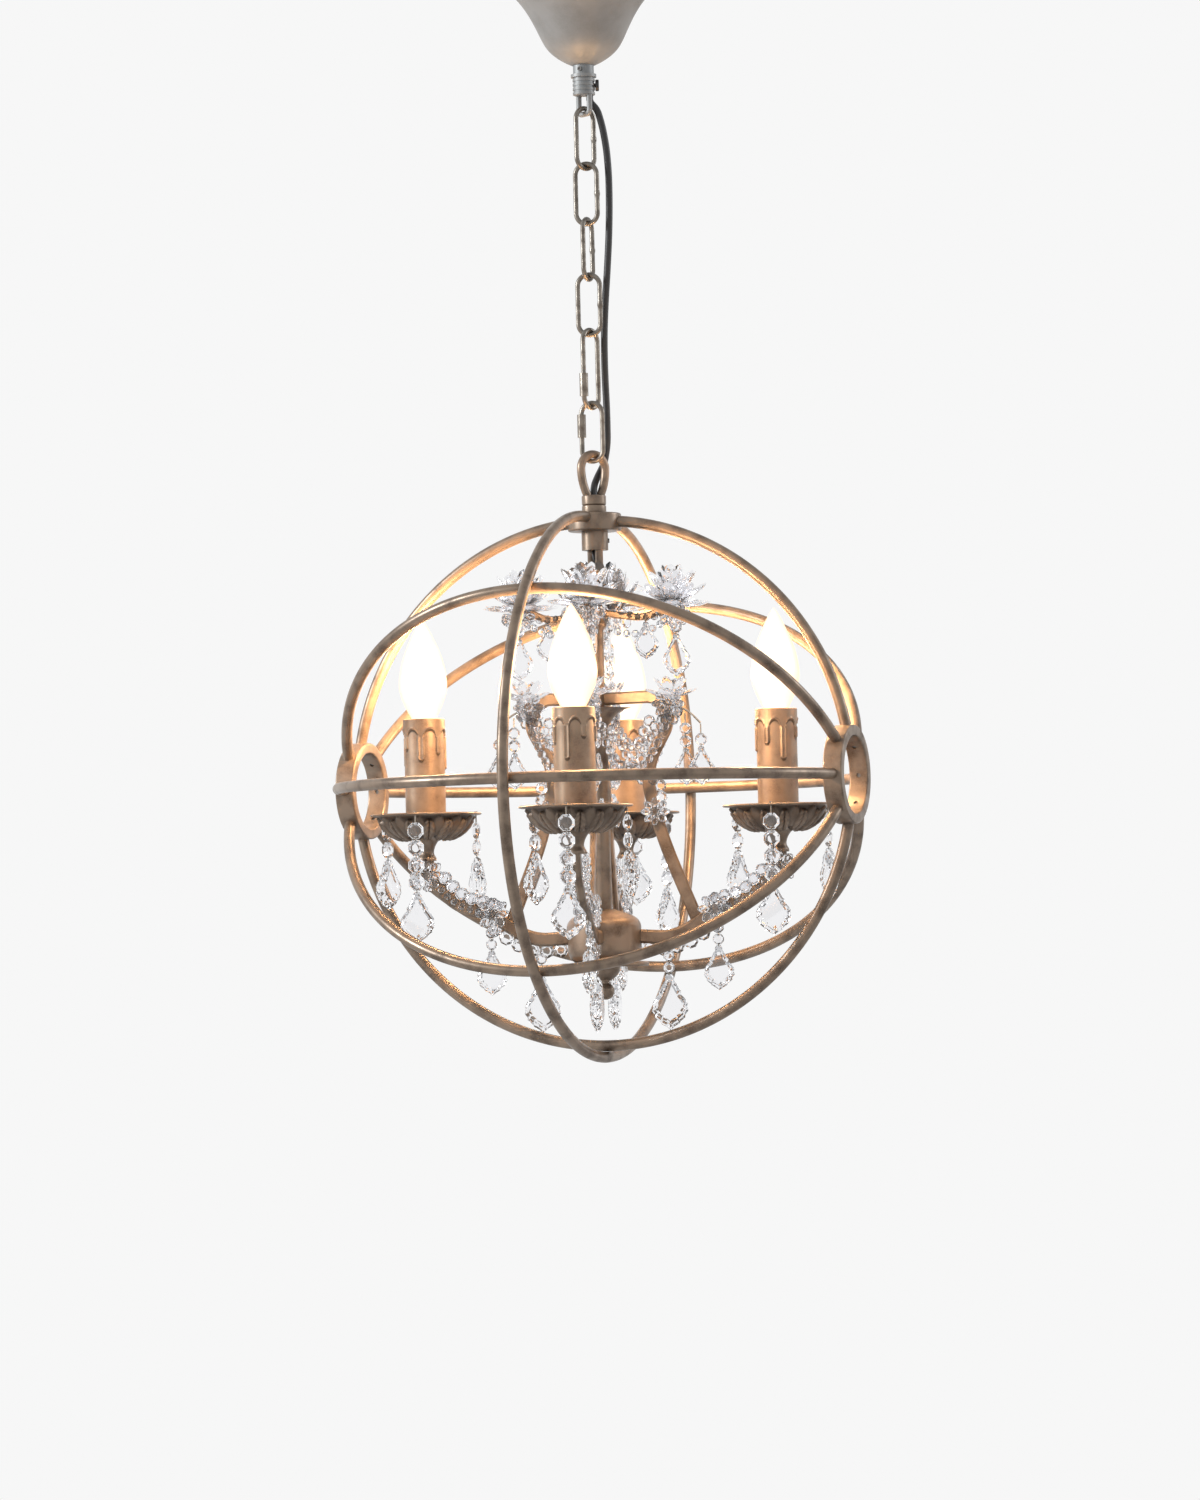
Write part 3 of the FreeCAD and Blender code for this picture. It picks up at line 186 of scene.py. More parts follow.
def addPiece(name, parts, material, body, nodes, sharpAngle=40.0, flat=False, paintedShades=None):
    # one mesh from several (vertices, quads) parts, doubled points merged and faces turned outwards;
    # the last argument gives one number of painted shade per vertex, 1 where it is darkest
    verts, faces = joined(parts)
    mesh = bpy.data.meshes.new(name)
    mesh.vertices.add(len(verts))
    mesh.vertices.foreach_set("co", (verts * mm).astype(np.float32).ravel())
    mesh.loops.add(faces.size)
    mesh.loops.foreach_set("vertex_index", faces.astype(np.int32).ravel())
    mesh.polygons.add(len(faces))
    mesh.polygons.foreach_set("loop_start", (np.arange(len(faces)) * faces.shape[1]).astype(np.int32))
    mesh.update(calc_edges=True)
    if paintedShades is not None:
        layer = mesh.attributes.new("paintedShade", "FLOAT", "POINT")
        layer.data.foreach_set("value", np.concatenate([h.ravel() for h in paintedShades]).astype(np.float32))
    cleaned(mesh, recalculate=True)
    return finished(name, mesh, material, body, nodes, sharpAngle, flat)


def cleaned(mesh, recalculate):
    # doubled points become one, slivers go, and the faces may be turned outwards
    work = bmesh.new()
    work.from_mesh(mesh)
    bmesh.ops.remove_doubles(work, verts=work.verts, dist=2e-6)
    bmesh.ops.dissolve_degenerate(work, edges=work.edges, dist=1e-7)
    if recalculate:
        bmesh.ops.recalc_face_normals(work, faces=work.faces)
    work.to_mesh(mesh)
    work.free()


def finished(name, mesh, material, body, nodes, sharpAngle, flat):
    # shading, material, the body it rides on and the CAD nodes it stands for
    if flat:
        mesh.shade_flat()
    else:
        mesh.shade_smooth()
        mesh.set_sharp_from_angle(angle=math.radians(sharpAngle))
    mesh.materials.clear()
    mesh.materials.append(material)
    piece = bpy.data.objects.new(name, mesh)
    bpy.context.scene.collection.objects.link(piece)
    if body:
        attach(piece, body)
    if nodes:
        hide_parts(*nodes)
    return piece


def dressed(nodeName, material, sharpAngle=32.0):
    # a CAD node's own surface, its loose triangles merged so that round faces shade smoothly
    source = cadNodes[nodeName]
    mesh = source.data.copy()
    mesh.name = nodeName + "Dressed"
    cleaned(mesh, recalculate=False)
    for layer in list(mesh.attributes):
        if layer.name == "custom_normal":
            mesh.attributes.remove(layer)
    return finished(nodeName + "Dressed", mesh, material, source["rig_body"], [nodeName], sharpAngle, False)


# Finishes.

def newGroup(name, inputs, outputs):
    # a shader node group with named sockets, each input with the value it starts from
    group = bpy.data.node_groups.new(name, "ShaderNodeTree")
    for label, kind, value in inputs:
        socket = group.interface.new_socket(name=label, in_out="INPUT", socket_type=kind)
        if value is not None:
            socket.default_value = value
    for label, kind in outputs:
        group.interface.new_socket(name=label, in_out="OUTPUT", socket_type=kind)
    return group, group.nodes.new("NodeGroupInput"), group.nodes.new("NodeGroupOutput")


def setInputs(node, values):
    for label, value in values.items():
        node.inputs[label].default_value = value


def noiseNode(tree, vector, values):
    node = tree.nodes.new("ShaderNodeTexNoise")
    setInputs(node, values)
    tree.links.new(vector, node.inputs["Vector"])
    return node


def stretched(tree, value, low, high, toLow=0.0, toHigh=1.0):
    # low..high becomes toLow..toHigh, and what lies past them stays at the end
    node = tree.nodes.new("ShaderNodeMapRange")
    setInputs(node, {"From Min": low, "From Max": high, "To Min": toLow, "To Max": toHigh})
    tree.links.new(value, node.inputs["Value"])
    return node.outputs["Result"]


def combined(tree, operation, first, second):
    node = tree.nodes.new("ShaderNodeMath")
    node.operation = operation
    tree.links.new(first, node.inputs[0])
    tree.links.new(second, node.inputs[1])
    return node.outputs[0]


def mixedColour(tree, factor, first, second):
    node = tree.nodes.new("ShaderNodeMix")
    node.data_type = "RGBA"
    tree.links.new(factor, node.inputs["Factor"])
    for source, socket in ((first, node.inputs[6]), (second, node.inputs[7])):
        if isinstance(source, tuple):
            socket.default_value = source
        else:
            tree.links.new(source, socket)
    return node.outputs[2]


paintedShadeColour = (0.035, 0.022, 0.014)  # painted shade for the recesses of the leaf carving and a band under the wax's edge


def antiquedGroup():
    # lacquer rubbed over a darker coat: broad clouds mix the two, fine specks break them up
    group, entry, leave = newGroup(
        "antiquedLacquer",
        [("Vector", "NodeSocketVector", None), ("Lacquer", "NodeSocketColor", (0.5, 0.45, 0.38, 1)),
         ("Under Coat", "NodeSocketColor", (0.2, 0.15, 0.1, 1)), ("Cloud Scale", "NodeSocketFloat", 60.0),
         ("Rub", "NodeSocketFloat", 0.5), ("Gloss", "NodeSocketFloat", 0.35), ("Painted Shade", "NodeSocketFloat", 0.0)],
        [("Color", "NodeSocketColor"), ("Roughness", "NodeSocketFloat"), ("Height", "NodeSocketFloat")])
    clouds = noiseNode(group, entry.outputs["Vector"], {"Detail": 5.0})
    group.links.new(entry.outputs["Cloud Scale"], clouds.inputs["Scale"])
    specks = noiseNode(group, entry.outputs["Vector"], {"Scale": 900.0, "Detail": 3.0, "Roughness": 0.55})
    both = combined(group, "MULTIPLY", stretched(group, clouds.outputs["Fac"], 0.42, 0.68),
                    stretched(group, specks.outputs["Fac"], 0.3, 0.6, 0.55, 1.0))
    rub = combined(group, "MULTIPLY", both, entry.outputs["Rub"])
    rubbed = mixedColour(group, rub, entry.outputs["Lacquer"], entry.outputs["Under Coat"])
    # painted shade, mixed in by the shade input
    group.links.new(mixedColour(group, entry.outputs["Painted Shade"], rubbed, (*paintedShadeColour, 1)), leave.inputs["Color"])
    rough = group.nodes.new("ShaderNodeMath")
    rough.operation = "MULTIPLY_ADD"
    group.links.new(rub, rough.inputs[0])
    rough.inputs[1].default_value = 0.25
    group.links.new(entry.outputs["Gloss"], rough.inputs[2])
    group.links.new(rough.outputs[0], leave.inputs["Roughness"])
    group.links.new(specks.outputs["Fac"], leave.inputs["Height"])
    return group


def newMaterial(name):
    material = bpy.data.materials.new(name)
    material.use_nodes = True
    tree = material.node_tree
    tree.nodes.clear()
    output = tree.nodes.new("ShaderNodeOutputMaterial")
    shader = tree.nodes.new("ShaderNodeBsdfPrincipled")
    tree.links.new(shader.outputs["BSDF"], output.inputs["Surface"])
    return material, tree, shader


def lacquered(name, lacquer, underCoat, cloudScale, rub, gloss, metallic):
    # brushed lacquer with its own colours; a point attribute says where painted shade darkens it
    material, tree, shader = newMaterial(name)
    coordinates = tree.nodes.new("ShaderNodeTexCoord")
    antique = tree.nodes.new("ShaderNodeGroup")
    antique.node_tree = antiquedShared
    setInputs(antique, {"Lacquer": (*lacquer, 1), "Under Coat": (*underCoat, 1), "Cloud Scale": cloudScale,
                        "Rub": rub, "Gloss": gloss})
    tree.links.new(coordinates.outputs["Object"], antique.inputs["Vector"])
    paintedShade = tree.nodes.new("ShaderNodeAttribute")
    paintedShade.attribute_name = "paintedShade"
    tree.links.new(paintedShade.outputs["Fac"], antique.inputs["Painted Shade"])
    tree.links.new(antique.outputs["Color"], shader.inputs["Base Color"])
    tree.links.new(antique.outputs["Roughness"], shader.inputs["Roughness"])
    shader.inputs["Metallic"].default_value = metallic
    grain = tree.nodes.new("ShaderNodeBump")
    setInputs(grain, {"Strength": 0.05, "Distance": 0.0003})
    tree.links.new(antique.outputs["Height"], grain.inputs["Height"])
    tree.links.new(grain.outputs["Normal"], shader.inputs["Normal"])
    return material


def plain(name, colour, roughness, metallic=0.0):
    # one colour and one gloss all over
    material, _, shader = newMaterial(name)
    setInputs(shader, {"Base Color": (*colour, 1), "Roughness": roughness, "Metallic": metallic})
    return material


def cutGlass(name, tint, roughness):
    # clear glass, a little heavier than window glass
    material, _, shader = newMaterial(name)
    setInputs(shader, {"Base Color": (*tint, 1), "Roughness": roughness, "IOR": 1.54, "Transmission Weight": 1.0})
    return material


def litGlass(name, middle, rim, strength):
    # frosted glass lit from inside: pale where it faces the eye, warmer where it turns away
    material, tree, shader = newMaterial(name)
    setInputs(shader, {"Base Color": (0.34, 0.31, 0.27, 1), "Roughness": 0.25, "Emission Strength": strength})
    facing = tree.nodes.new("ShaderNodeLayerWeight")
    facing.inputs["Blend"].default_value = 0.45
    glow = mixedColour(tree, facing.outputs["Facing"], (*middle, 1), (*rim, 1))
    tree.links.new(glow, shader.inputs["Emission Color"])
    return material


antiquedShared = antiquedGroup()
framePaint = lacquered("framePaint", (0.25, 0.185, 0.135), (0.05, 0.032, 0.022), 75.0, 0.75, 0.3, 0.5)
chainPaint = lacquered("chainPaint", (0.21, 0.19, 0.165), (0.045, 0.035, 0.028), 130.0, 0.75, 0.28, 0.75)
canopyPaint = lacquered("canopyPaint", (0.25, 0.255, 0.255), (0.12, 0.12, 0.115), 40.0, 0.45, 0.5, 0.35)
sleevePaint = lacquered("sleevePaint", (0.35, 0.245, 0.165), (0.12, 0.07, 0.045), 90.0, 0.55, 0.36, 0.4)
blackPlastic = plain("blackPlastic", (0.012, 0.012, 0.013), 0.45)
screwSteel = plain("screwSteel", (0.2, 0.19, 0.18), 0.32, 1.0)
turnedBrass = plain("turnedBrass", (0.5, 0.34, 0.15), 0.35, 1.0)
mouldedWhite = plain("mouldedWhite", (0.75, 0.73, 0.68), 0.5)
pinSilver = plain("pinSilver", (0.4, 0.36, 0.31), 0.25, 1.0)
crystalGlass = cutGlass("crystalGlass", (0.93, 0.93, 0.945), 0.02)
bulbGlow = litGlass("bulbGlow", (1.0, 0.9, 0.72), (0.8, 0.42, 0.16), 1.35)
print("finishes made")


# Pieces that keep their CAD surface and get a finish.

surfaces = [
    (canopyPaint, "canopy_silver", "canopy canopy_collar suspension_yoke"),
    (chainPaint, "chain_finish", "quick_link_upper quick_link_lower upper_link_nut lower_link_nut"),
    (blackPlastic, "black_plastic", "canopy_cable stem_wires cord_clamp_screw"),
    (screwSteel, "steel", "ceiling_bracket canopy_set_screw stem_set_screw terminal_screws hub_screws"),
    (turnedBrass, "brass", "canopy_nipple nipple_nuts hub_nipple"),
    (framePaint, "frame_paint", "top_loop loop_collar hub_disc side_hubs stem_collar crown_bell crown_arms "
     "centre_column mid_cup lyre_bars lower_body bottom_plate bottom_finial arms arm_cups"),
    (mouldedWhite, "block_plastic", "terminal_block"), (mouldedWhite, "holder_plastic", "lampholders")]
for material, slotName, nodeNames in surfaces:
    for nodeName in nodeNames.split():
        dressed(nodeName, material)
print("CAD surfaces dressed")


# The orb's hoops, in round bar.

orb = {"centreHeight": -576.51, "hoopRadius": 188.0, "tilts": (45, -45, 135, -135), "crossRadius": 196.1,
       "crossFlat": 190.1, "hubRadius": 35.0, "hubSeat": 0.25, "topHubRadius": 19.25, "barEntry": 4.0,
       "barRadius": 4.0, "barSides": 20, "barStep": 5.0}


def hoopPath(radius, first, last, tilt):
    # part of a circle in the XZ plane from +X towards up, turned about the X axis
    steps = int(abs(last - first) * math.pi / 180 * radius / orb["barStep"]) + 2
    a = np.radians(np.linspace(first, last, steps))
    arc = np.stack([radius * np.cos(a), 0 * a, radius * np.sin(a)], -1)
    return turned(arc, tilt, "x") + [0, 0, orb["centreHeight"]]


def hoopBar(path, across):
    # round bar along the path: a circle of the bar's radius carried along it
    return carried(path, orb["barRadius"], orb["barSides"], across)


def addHoops():
    edge = math.degrees(math.asin(orb["hubRadius"] / orb["hoopRadius"])) - orb["hubSeat"]
    top = math.degrees(math.asin((orb["topHubRadius"] - orb["barEntry"]) / orb["hoopRadius"]))

    def across(tilt):
        return turned(np.array([0.0, 1.0, 0.0]), tilt, "x")

    def sideToSide(tilt):
        return hoopBar(hoopPath(orb["hoopRadius"], edge, 180 - edge, tilt), across(tilt))

    spans = [(edge, 90 - top), (90 + top, 180 - edge), (-edge, edge - 180)]
    upright = [hoopBar(hoopPath(orb["hoopRadius"], first, last, 0), across(0)) for first, last in spans]
    for name, node, bars in (("horizontalHoop", "horizontal_hoop", [sideToSide(tilt) for tilt in (90, -90)]),
                             ("tiltedHoops", "tilted_hoops", [sideToSide(tilt) for tilt in orb["tilts"]]),
                             ("uprightHoop", "vertical_hoop", upright),
                             ("crossHoop", "cross_hoop", [hoopBar(crossPath(), (1, 0, 0))])):
        addPiece(name, bars, framePaint, "orb", [node])


def crossPath():
    # flat out of the top hub, a tighter arc that meets the big circle, then round below and back
    big, flat, start = orb["crossRadius"], orb["crossFlat"], orb["topHubRadius"]
    tight = (big ** 2 - start ** 2 - flat ** 2) / (2 * (big - flat))
    meet = math.atan2(start, flat - tight)
    a = np.linspace(0, meet, 24)
    shoulder = np.stack([0 * a, start + tight * np.sin(a), flat - tight + tight * np.cos(a)], -1)
    b = np.linspace(meet, math.pi, 150)[1:]
    bow = np.stack([0 * b, big * np.sin(b), big * np.cos(b)], -1)
    half = np.vstack([[[0, start - orb["barEntry"], flat]], shoulder, bow])
    other = half[::-1][1:] * [1, -1, 1]
    return np.vstack([half, other]) + [0, 0, orb["centreHeight"]]


addHoops()
print("hoops made")


# The chain and the cable beside it.

chain = {"turn": 20.0, "wireRadius": 1.75, "halfWidth": 8.0, "opening": 40.0, "firstTop": -92.7,
         "linkTurns": [39.0, -17.0, 66.0, -8.0], "weldRadius": 2.15, "weldLength": 3.4, "wireSides": 16}
cable = {"radius": 2.5, "sides": 20, "turn": 20.0, "topFollow": (-0.083, -0.112), "lowFollow": (-0.332, -0.362),
         "cutAt": 40,
         "route": [(4.0, 1.0, -81.5), (4.0, 1.0, -86.0), (9.3, 0.3, -92.0), (12.6, 0.2, -104.0), (15.2, 1.0, -120.0),
                   (16.4, 2.0, -139.0), (16.3, 3.0, -160.0), (15.5, 4.2, -182.0), (13.7, 6.2, -207.0),
                   (11.6, 8.4, -231.0), (10.2, 9.7, -255.0), (10.1, 10.8, -281.0), (10.9, 11.6, -309.0),
                   (10.8, 13.0, -332.0), (8.2, 13.6, -346.0), (3.2, 10.7, -355.5), (0.7, 5.0, -361.5),
                   (0.0, 0.4, -366.5), (0.0, 0.0, -372.5)]}


def chainLink(opening, turn, top):
    # a closed stadium: two half circles joined by straight sides, thicker where its ends are welded, by a bell
    # curve to the fourth power along the wire
    r = chain["halfWidth"]
    bend = r - chain["wireRadius"]
    high, low = top - bend, top - opening + bend
    a = np.linspace(0, math.pi, 25)
    upper = np.stack([r * np.cos(a), 0 * a, high + r * np.sin(a)], -1)
    lower = np.stack([-r * np.cos(a), 0 * a, low - r * np.sin(a)], -1)
    z = np.linspace(high, low, 24)[1:-1]
    left = np.stack([0 * z - r, 0 * z, z], -1)
    right = np.stack([0 * z + r, 0 * z, z[::-1]], -1)
    path = np.vstack([upper, left, lower, right])
    middle = (high + low) / 2
    fromWeld = (path[:, 2] - middle) / (chain["weldLength"] / 2)
    swell = (chain["weldRadius"] - chain["wireRadius"]) * np.exp(-fromWeld ** 4)
    radius = chain["wireRadius"] + np.where(path[:, 0] > 0, swell, 0)
    link = carried(path, radius, chain["wireSides"], (0, 1, 0), closed=True)
    return placed(link, chain["turn"] + turn)


def addChain():
    links = [chainLink(chain["opening"], turn, chain["firstTop"] - i * chain["opening"])
             for i, turn in enumerate(chain["linkTurns"])]
    addPiece("chainLinks", links, chainPaint, "chain", ["chain_links"])


def addCable():
    # one cable in two lengths that meet on a straight cut: the upper bends at the yoke, the lower at the orb's loop
    line = resampled(turned(roundedLine(cable["route"], steps=9), cable["turn"]), 1.5)
    across = turned(np.array([1.0, 0.0, 0.0]), cable["turn"])
    cut = cable["cutAt"]
    parts = [("supplyCableTop", line[:cut + 1], ("ceiling", "chain", cable["topFollow"])),
             ("supplyCable", line[cut:], ("chain", "orb", cable["lowFollow"]))]
    for name, part, (above, below, follow) in parts:
        piece = addPiece(name, [carried(part, cable["radius"], cable["sides"], across)], blackPlastic, None,
                         ["supply_cable"])
        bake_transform(piece, above, below, (0, 0, follow[0]), (0, 0, follow[1]))


addChain()
addCable()
print("chain and cable made")


# The candles: drip pans, sleeves and bulbs.

candle = {"circle": 127.5, "firstTurn": -78.0, "panRim": -595.0, "panLow": -612.5,
          "sleeveRadius": 14.5, "sleeveWall": 1.2, "sleeveLow": -611.25, "sleeveTop": -527.3,
          "sides": 40, "bulbFoot": -530.65, "bulbHeight": 76.0, "neckRadius": 6.93, "stemRadius": 3.0,
          "stemLength": 22.0, "stemTaper": 3.0}


def candlePlace(i):
    # the candles stand on a circle, a quarter turn apart
    a = math.radians(candle["firstTurn"] + 90 * i)
    return candle["circle"] * math.cos(a), candle["circle"] * math.sin(a)


drips = {"sides": 168, "rows": 120, "foot": 40.0, "peak": 7.5, "shoulder": 13.0, "halfWidth": 8.0, "depth": 0.55,
         "ramp": 0.6, "beadAt": 0.5, "beadWidth": 0.75, "beadDepth": 0.75, "endRound": 2.5, "sideReach": 6.0,
         "edgeShadeAt": 0.9, "edgeShadeWidth": 0.75, "edgeShade": 0.85, "lip": 0.35, "twist": 37.0,
         "runs": [(14, 24), (66, 34), (120, 22), (171, 30), (223, 25), (270, 36), (318, 21)]}


def dripField(z, angle, twist):
    # how far each point of the sleeve lies above the wax's lower edge: the edge is an arch between two runs, a
    # quarter circle from each side, and a round end on each run
    top, half = candle["sleeveTop"], drips["halfWidth"]
    runs = np.array(drips["runs"], float)
    away = np.abs((angle[:, None] - (runs[:, 0] + twist) + 180) % 360 - 180)
    gap = away.min(1)
    t = np.clip((gap - half) / (180.0 / len(runs) - half), 0, 1)
    arch = drips["peak"] + (drips["shoulder"] - drips["peak"]) * (1 - np.sqrt(1 - (1 - t) ** 2))
    end = runs[away.argmin(1), 1] - drips["endRound"] * (1 - np.sqrt(np.clip(1 - (gap / half) ** 2, 0, 1)))
    reach = np.where(gap < half, end, arch)
    side = np.clip(half - gap, -drips["sideReach"], drips["sideReach"]) * math.pi / 180 * candle["sleeveRadius"]
    above = z - (top - reach[None])
    inRun = (z < top - drips["shoulder"]) & (gap[None] < 2 * half)
    return np.where(inRun, np.minimum(above, side[None]), above)


def sleeveMesh(centre, twist):
    # a tube whose outer face stands out above the wax's edge, by a smooth step, with a bell-shaped bead along that
    # edge and a band of painted shade below it, where the mesh has no groove
    top, low, r = candle["sleeveTop"], candle["sleeveLow"], candle["sleeveRadius"]
    angle = np.arange(drips["sides"]) * 360.0 / drips["sides"]
    heights = [np.linspace(low, top - drips["foot"], 4), np.linspace(top - drips["foot"] + 1, top, drips["rows"])]
    z = np.concatenate(heights)[:, None]
    distance = dripField(z, angle, twist)
    step = np.clip(distance / drips["ramp"], 0, 1)
    bead = drips["beadDepth"] * np.exp(-((distance - drips["beadAt"]) / drips["beadWidth"]) ** 2)
    radius = r + drips["depth"] * step * step * (3 - 2 * step) + bead
    # painted shade in a bell-shaped band just below the wax's edge
    edgeShade = drips["edgeShade"] * np.exp(-((distance + drips["edgeShadeAt"]) / drips["edgeShadeWidth"]) ** 2)
    a = np.radians(angle)[None]
    outer = np.stack([radius * np.cos(a), radius * np.sin(a), z + 0 * a], -1)
    inside, lip = r - candle["sleeveWall"], drips["lip"]
    rounds = np.array([(r + 0.1, lip), (inside + lip, lip), (inside, -0.3), (inside, low - top)])
    q, h = rounds[:, :1], rounds[:, 1:]
    inner = np.stack([q * np.cos(a), q * np.sin(a), top + h + 0 * a], -1)
    grid = np.concatenate([outer, inner, outer[:1]])
    paintedShade = np.concatenate([edgeShade, np.zeros((len(rounds) + 1, drips["sides"]))])
    verts, faces = gridMesh(grid)
    return verts + [centre[0], centre[1], 0], faces, paintedShade


# the last number is how strong the painted shade between the leaves is
leaves = {"count": 14, "sides": 280, "depth": 2.7, "veinDepth": 1.1, "veinWidth": 0.09, "ribDepth": 0.45,
          "fullness": 2.4, "roundness": 0.7, "backShare": 0.55, "frontRow": (0.1, 0.84), "backRow": (0.3, 0.95),
          "paintedShadeStrength": 0.9}
pan = {"floor": 1.2, "hole": 5.0,
       "bowl": [(13.8, 0), (19.5, 0.0552), (25.5, 0.25), (29.8, 0.5), (32.6, 0.76), (35.6, 1)],
       "inside": [(31.2, 0.78), (28.4, 0.58), (23.6, 0.36)], "insideEnds": (34.2, 15.0),
       "lip": [(38.4, -1.7), (39.5, -1.5), (40.0, -0.8), (39.6, -0.1), (38.6, 0.1), (36.0, -0.1)]}


def leafRow(along, angle, shift, low, high):
    # one row of pointed leaves between two heights: how far inside a leaf a point lies, 1 on its middle and 0 on its
    # edge; a leaf is as wide as the root of a sine along its length
    v = np.clip((along - low) / (high - low), 0, 1)
    width = np.sqrt(np.clip(np.sin(math.pi * np.clip(v * 0.8 + 0.2, 0, 1)), 0, 1)) * (1 - 0.25 * v)
    across = np.abs(((angle * leaves["count"] / (2 * math.pi) + shift) % 1) - 0.5) * 2
    inside = np.clip(1 - across[None] / np.maximum(width, 0.02), 0, 1) * ((along >= low) & (along <= high))
    return np.clip(inside * leaves["fullness"], 0, 1) ** leaves["roundness"], across[None] + 0 * v, v


def leafRelief(along, angle):
    # two rows of domed leaves, the back one lower; a bell-shaped vein is cut in the middle of each front leaf, and
    # ribs follow a sine that slants with the distance from the vein. The second result is painted shade in the
    # hollows.
    front, across, v = leafRow(along, angle, 0.0, *leaves["frontRow"])
    back = leafRow(along, angle, 0.5, *leaves["backRow"])[0] * leaves["backShare"]
    vein = np.exp(-(across / leaves["veinWidth"]) ** 2) * (front > 0.3)
    between = (1 - np.abs(np.sin(18 * v + 5 * across)) * front) * front
    raised = np.maximum(front, back)
    relief = leaves["depth"] * raised - leaves["veinDepth"] * vein - leaves["ribDepth"] * between
    band = np.clip(along / 0.1, 0, 1) * np.clip((1.0 - along) / 0.08, 0, 1)
    # painted shade where the leaves are low, in the veins and between the ribs
    return relief, band * np.clip(1.0 - raised + 0.55 * vein + 0.35 * between, 0, 1) * leaves["paintedShadeStrength"]


def panMesh(centre):
    # a dish with a thin lip: a profile spun round, with the leaves standing out square to its underside
    low, rim, hole = candle["panLow"], candle["panRim"], pan["hole"]
    floor = low + pan["floor"]
    depth = rim - floor
    outer = smoothCurve([(r, low + depth * share) for r, share in pan["bowl"]], 9)
    wall = [(r, low + depth * share) for r, share in pan["inside"]]
    inner = smoothCurve([(pan["insideEnds"][0], rim), *wall, (pan["insideEnds"][1], floor)], 6)
    lip = np.array([(r, rim + rise) for r, rise in pan["lip"]])
    rest = np.concatenate([lip, inner, [(hole, floor), (hole, low)]])
    angle = np.arange(leaves["sides"]) * 2 * math.pi / leaves["sides"]
    # the leaves' relief, and painted shade in its hollows
    relief, paintedShade = leafRelief(np.linspace(0, 1, len(outer))[:, None], angle)
    run = np.gradient(outer, axis=0)
    normal = np.stack([run[:, 1], -run[:, 0]], -1) / np.linalg.norm(run, axis=1, keepdims=True)
    radius = np.concatenate([outer[:, :1] + normal[:, :1] * relief, rest[:, :1] + 0 * angle])
    height = np.concatenate([outer[:, 1:] + normal[:, 1:] * relief, rest[:, 1:] + 0 * angle])
    grid = np.stack([radius * np.cos(angle), radius * np.sin(angle), height], -1)
    grid = np.concatenate([grid, grid[:1]])
    paintedShade = np.concatenate([paintedShade, np.zeros((len(rest) + 1, leaves["sides"]))])
    verts, faces = gridMesh(grid)
    return verts + [centre[0], centre[1], 0], faces, paintedShade


def bulbMesh(centre):
    # a candle flame: radii at shares of its height, smoothed and spun, on a short stem inside the holder
    foot, height, neck = candle["bulbFoot"], candle["bulbHeight"], candle["neckRadius"]
    share = [(neck, 0), (8.6, 0.05), (12.6, 0.15), (16.1, 0.27), (17.3, 0.4), (14.2, 0.62), (7.3, 0.84), (2.4, 0.96),
             (0.0, 1.0)]
    flame = smoothCurve([(r, foot + height * h) for r, h in share], 6)
    flame[-1] = (0, foot + height)
    low = foot - candle["stemLength"]
    stem = np.array([(0, low), (candle["stemRadius"], low), (neck, low + candle["stemTaper"])])
    return spun(np.vstack([stem, flame]), candle["sides"], centre)


def addCandles():
    centres = [candlePlace(i) for i in range(4)]
    sleeves = [sleeveMesh(c, drips["twist"] * i) for i, c in enumerate(centres)]
    addPiece("candleSleeves", [s[:2] for s in sleeves], sleevePaint, "orb", ["candle_sleeves"],
             sharpAngle=60, paintedShades=[s[2] for s in sleeves])
    pans = [panMesh(c) for c in centres]
    addPiece("dripPans", [p[:2] for p in pans], framePaint, "orb", ["drip_pans"], sharpAngle=60,
             paintedShades=[p[2] for p in pans])
    for place, centre in zip(places, centres):
        bulb = addPiece("bulb" + place.capitalize(), [bulbMesh(centre)], bulbGlow, "bulb_" + place, ["bulb_" + place])
        bulb.visible_shadow = False  # the lamp inside it shines through


addCandles()
print("candles made")


# The crystals that hang from the pans, and below them those on the arms, the lyres and the crown.

crystal = {"pearWidth": 25.0, "pearHeight": 37.0, "pearThickness": 8.0, "octagonRadius": 6.2, "octagonThickness": 5.0,
           "seat": 0.05, "pinRadius": 0.5, "pinSides": 8, "linkRadius": 0.42, "linkOverlap": 1.5, "pinLength": 7.0,
           "pinRise": 0.9, "pinHead": (0.5, 1.1, 1.2), "pinGap": 0.8, "pinCircle": 37.9,
           "headings": [160.0, 40.0, -80.0], "octagons": [2, 2, 4], "rearTurn": 60.0}


def gem(outline, thickness, rings):
    # a cut stone in the YZ plane: its outline drawn smaller and smaller towards a flat table on both sides
    outline = np.asarray(outline, float)
    centre = outline.mean(0)
    sides = []
    for sign in (-1, 1):
        rows = []
        for scale, rise in rings:
            flat = centre + (outline - centre) * scale
            rows.append(np.stack([0 * flat[:, 0] + sign * rise * thickness / 2, flat[:, 0], flat[:, 1]], -1))
        sides.append(gridMesh(np.stack(rows)))
    return joined(sides)


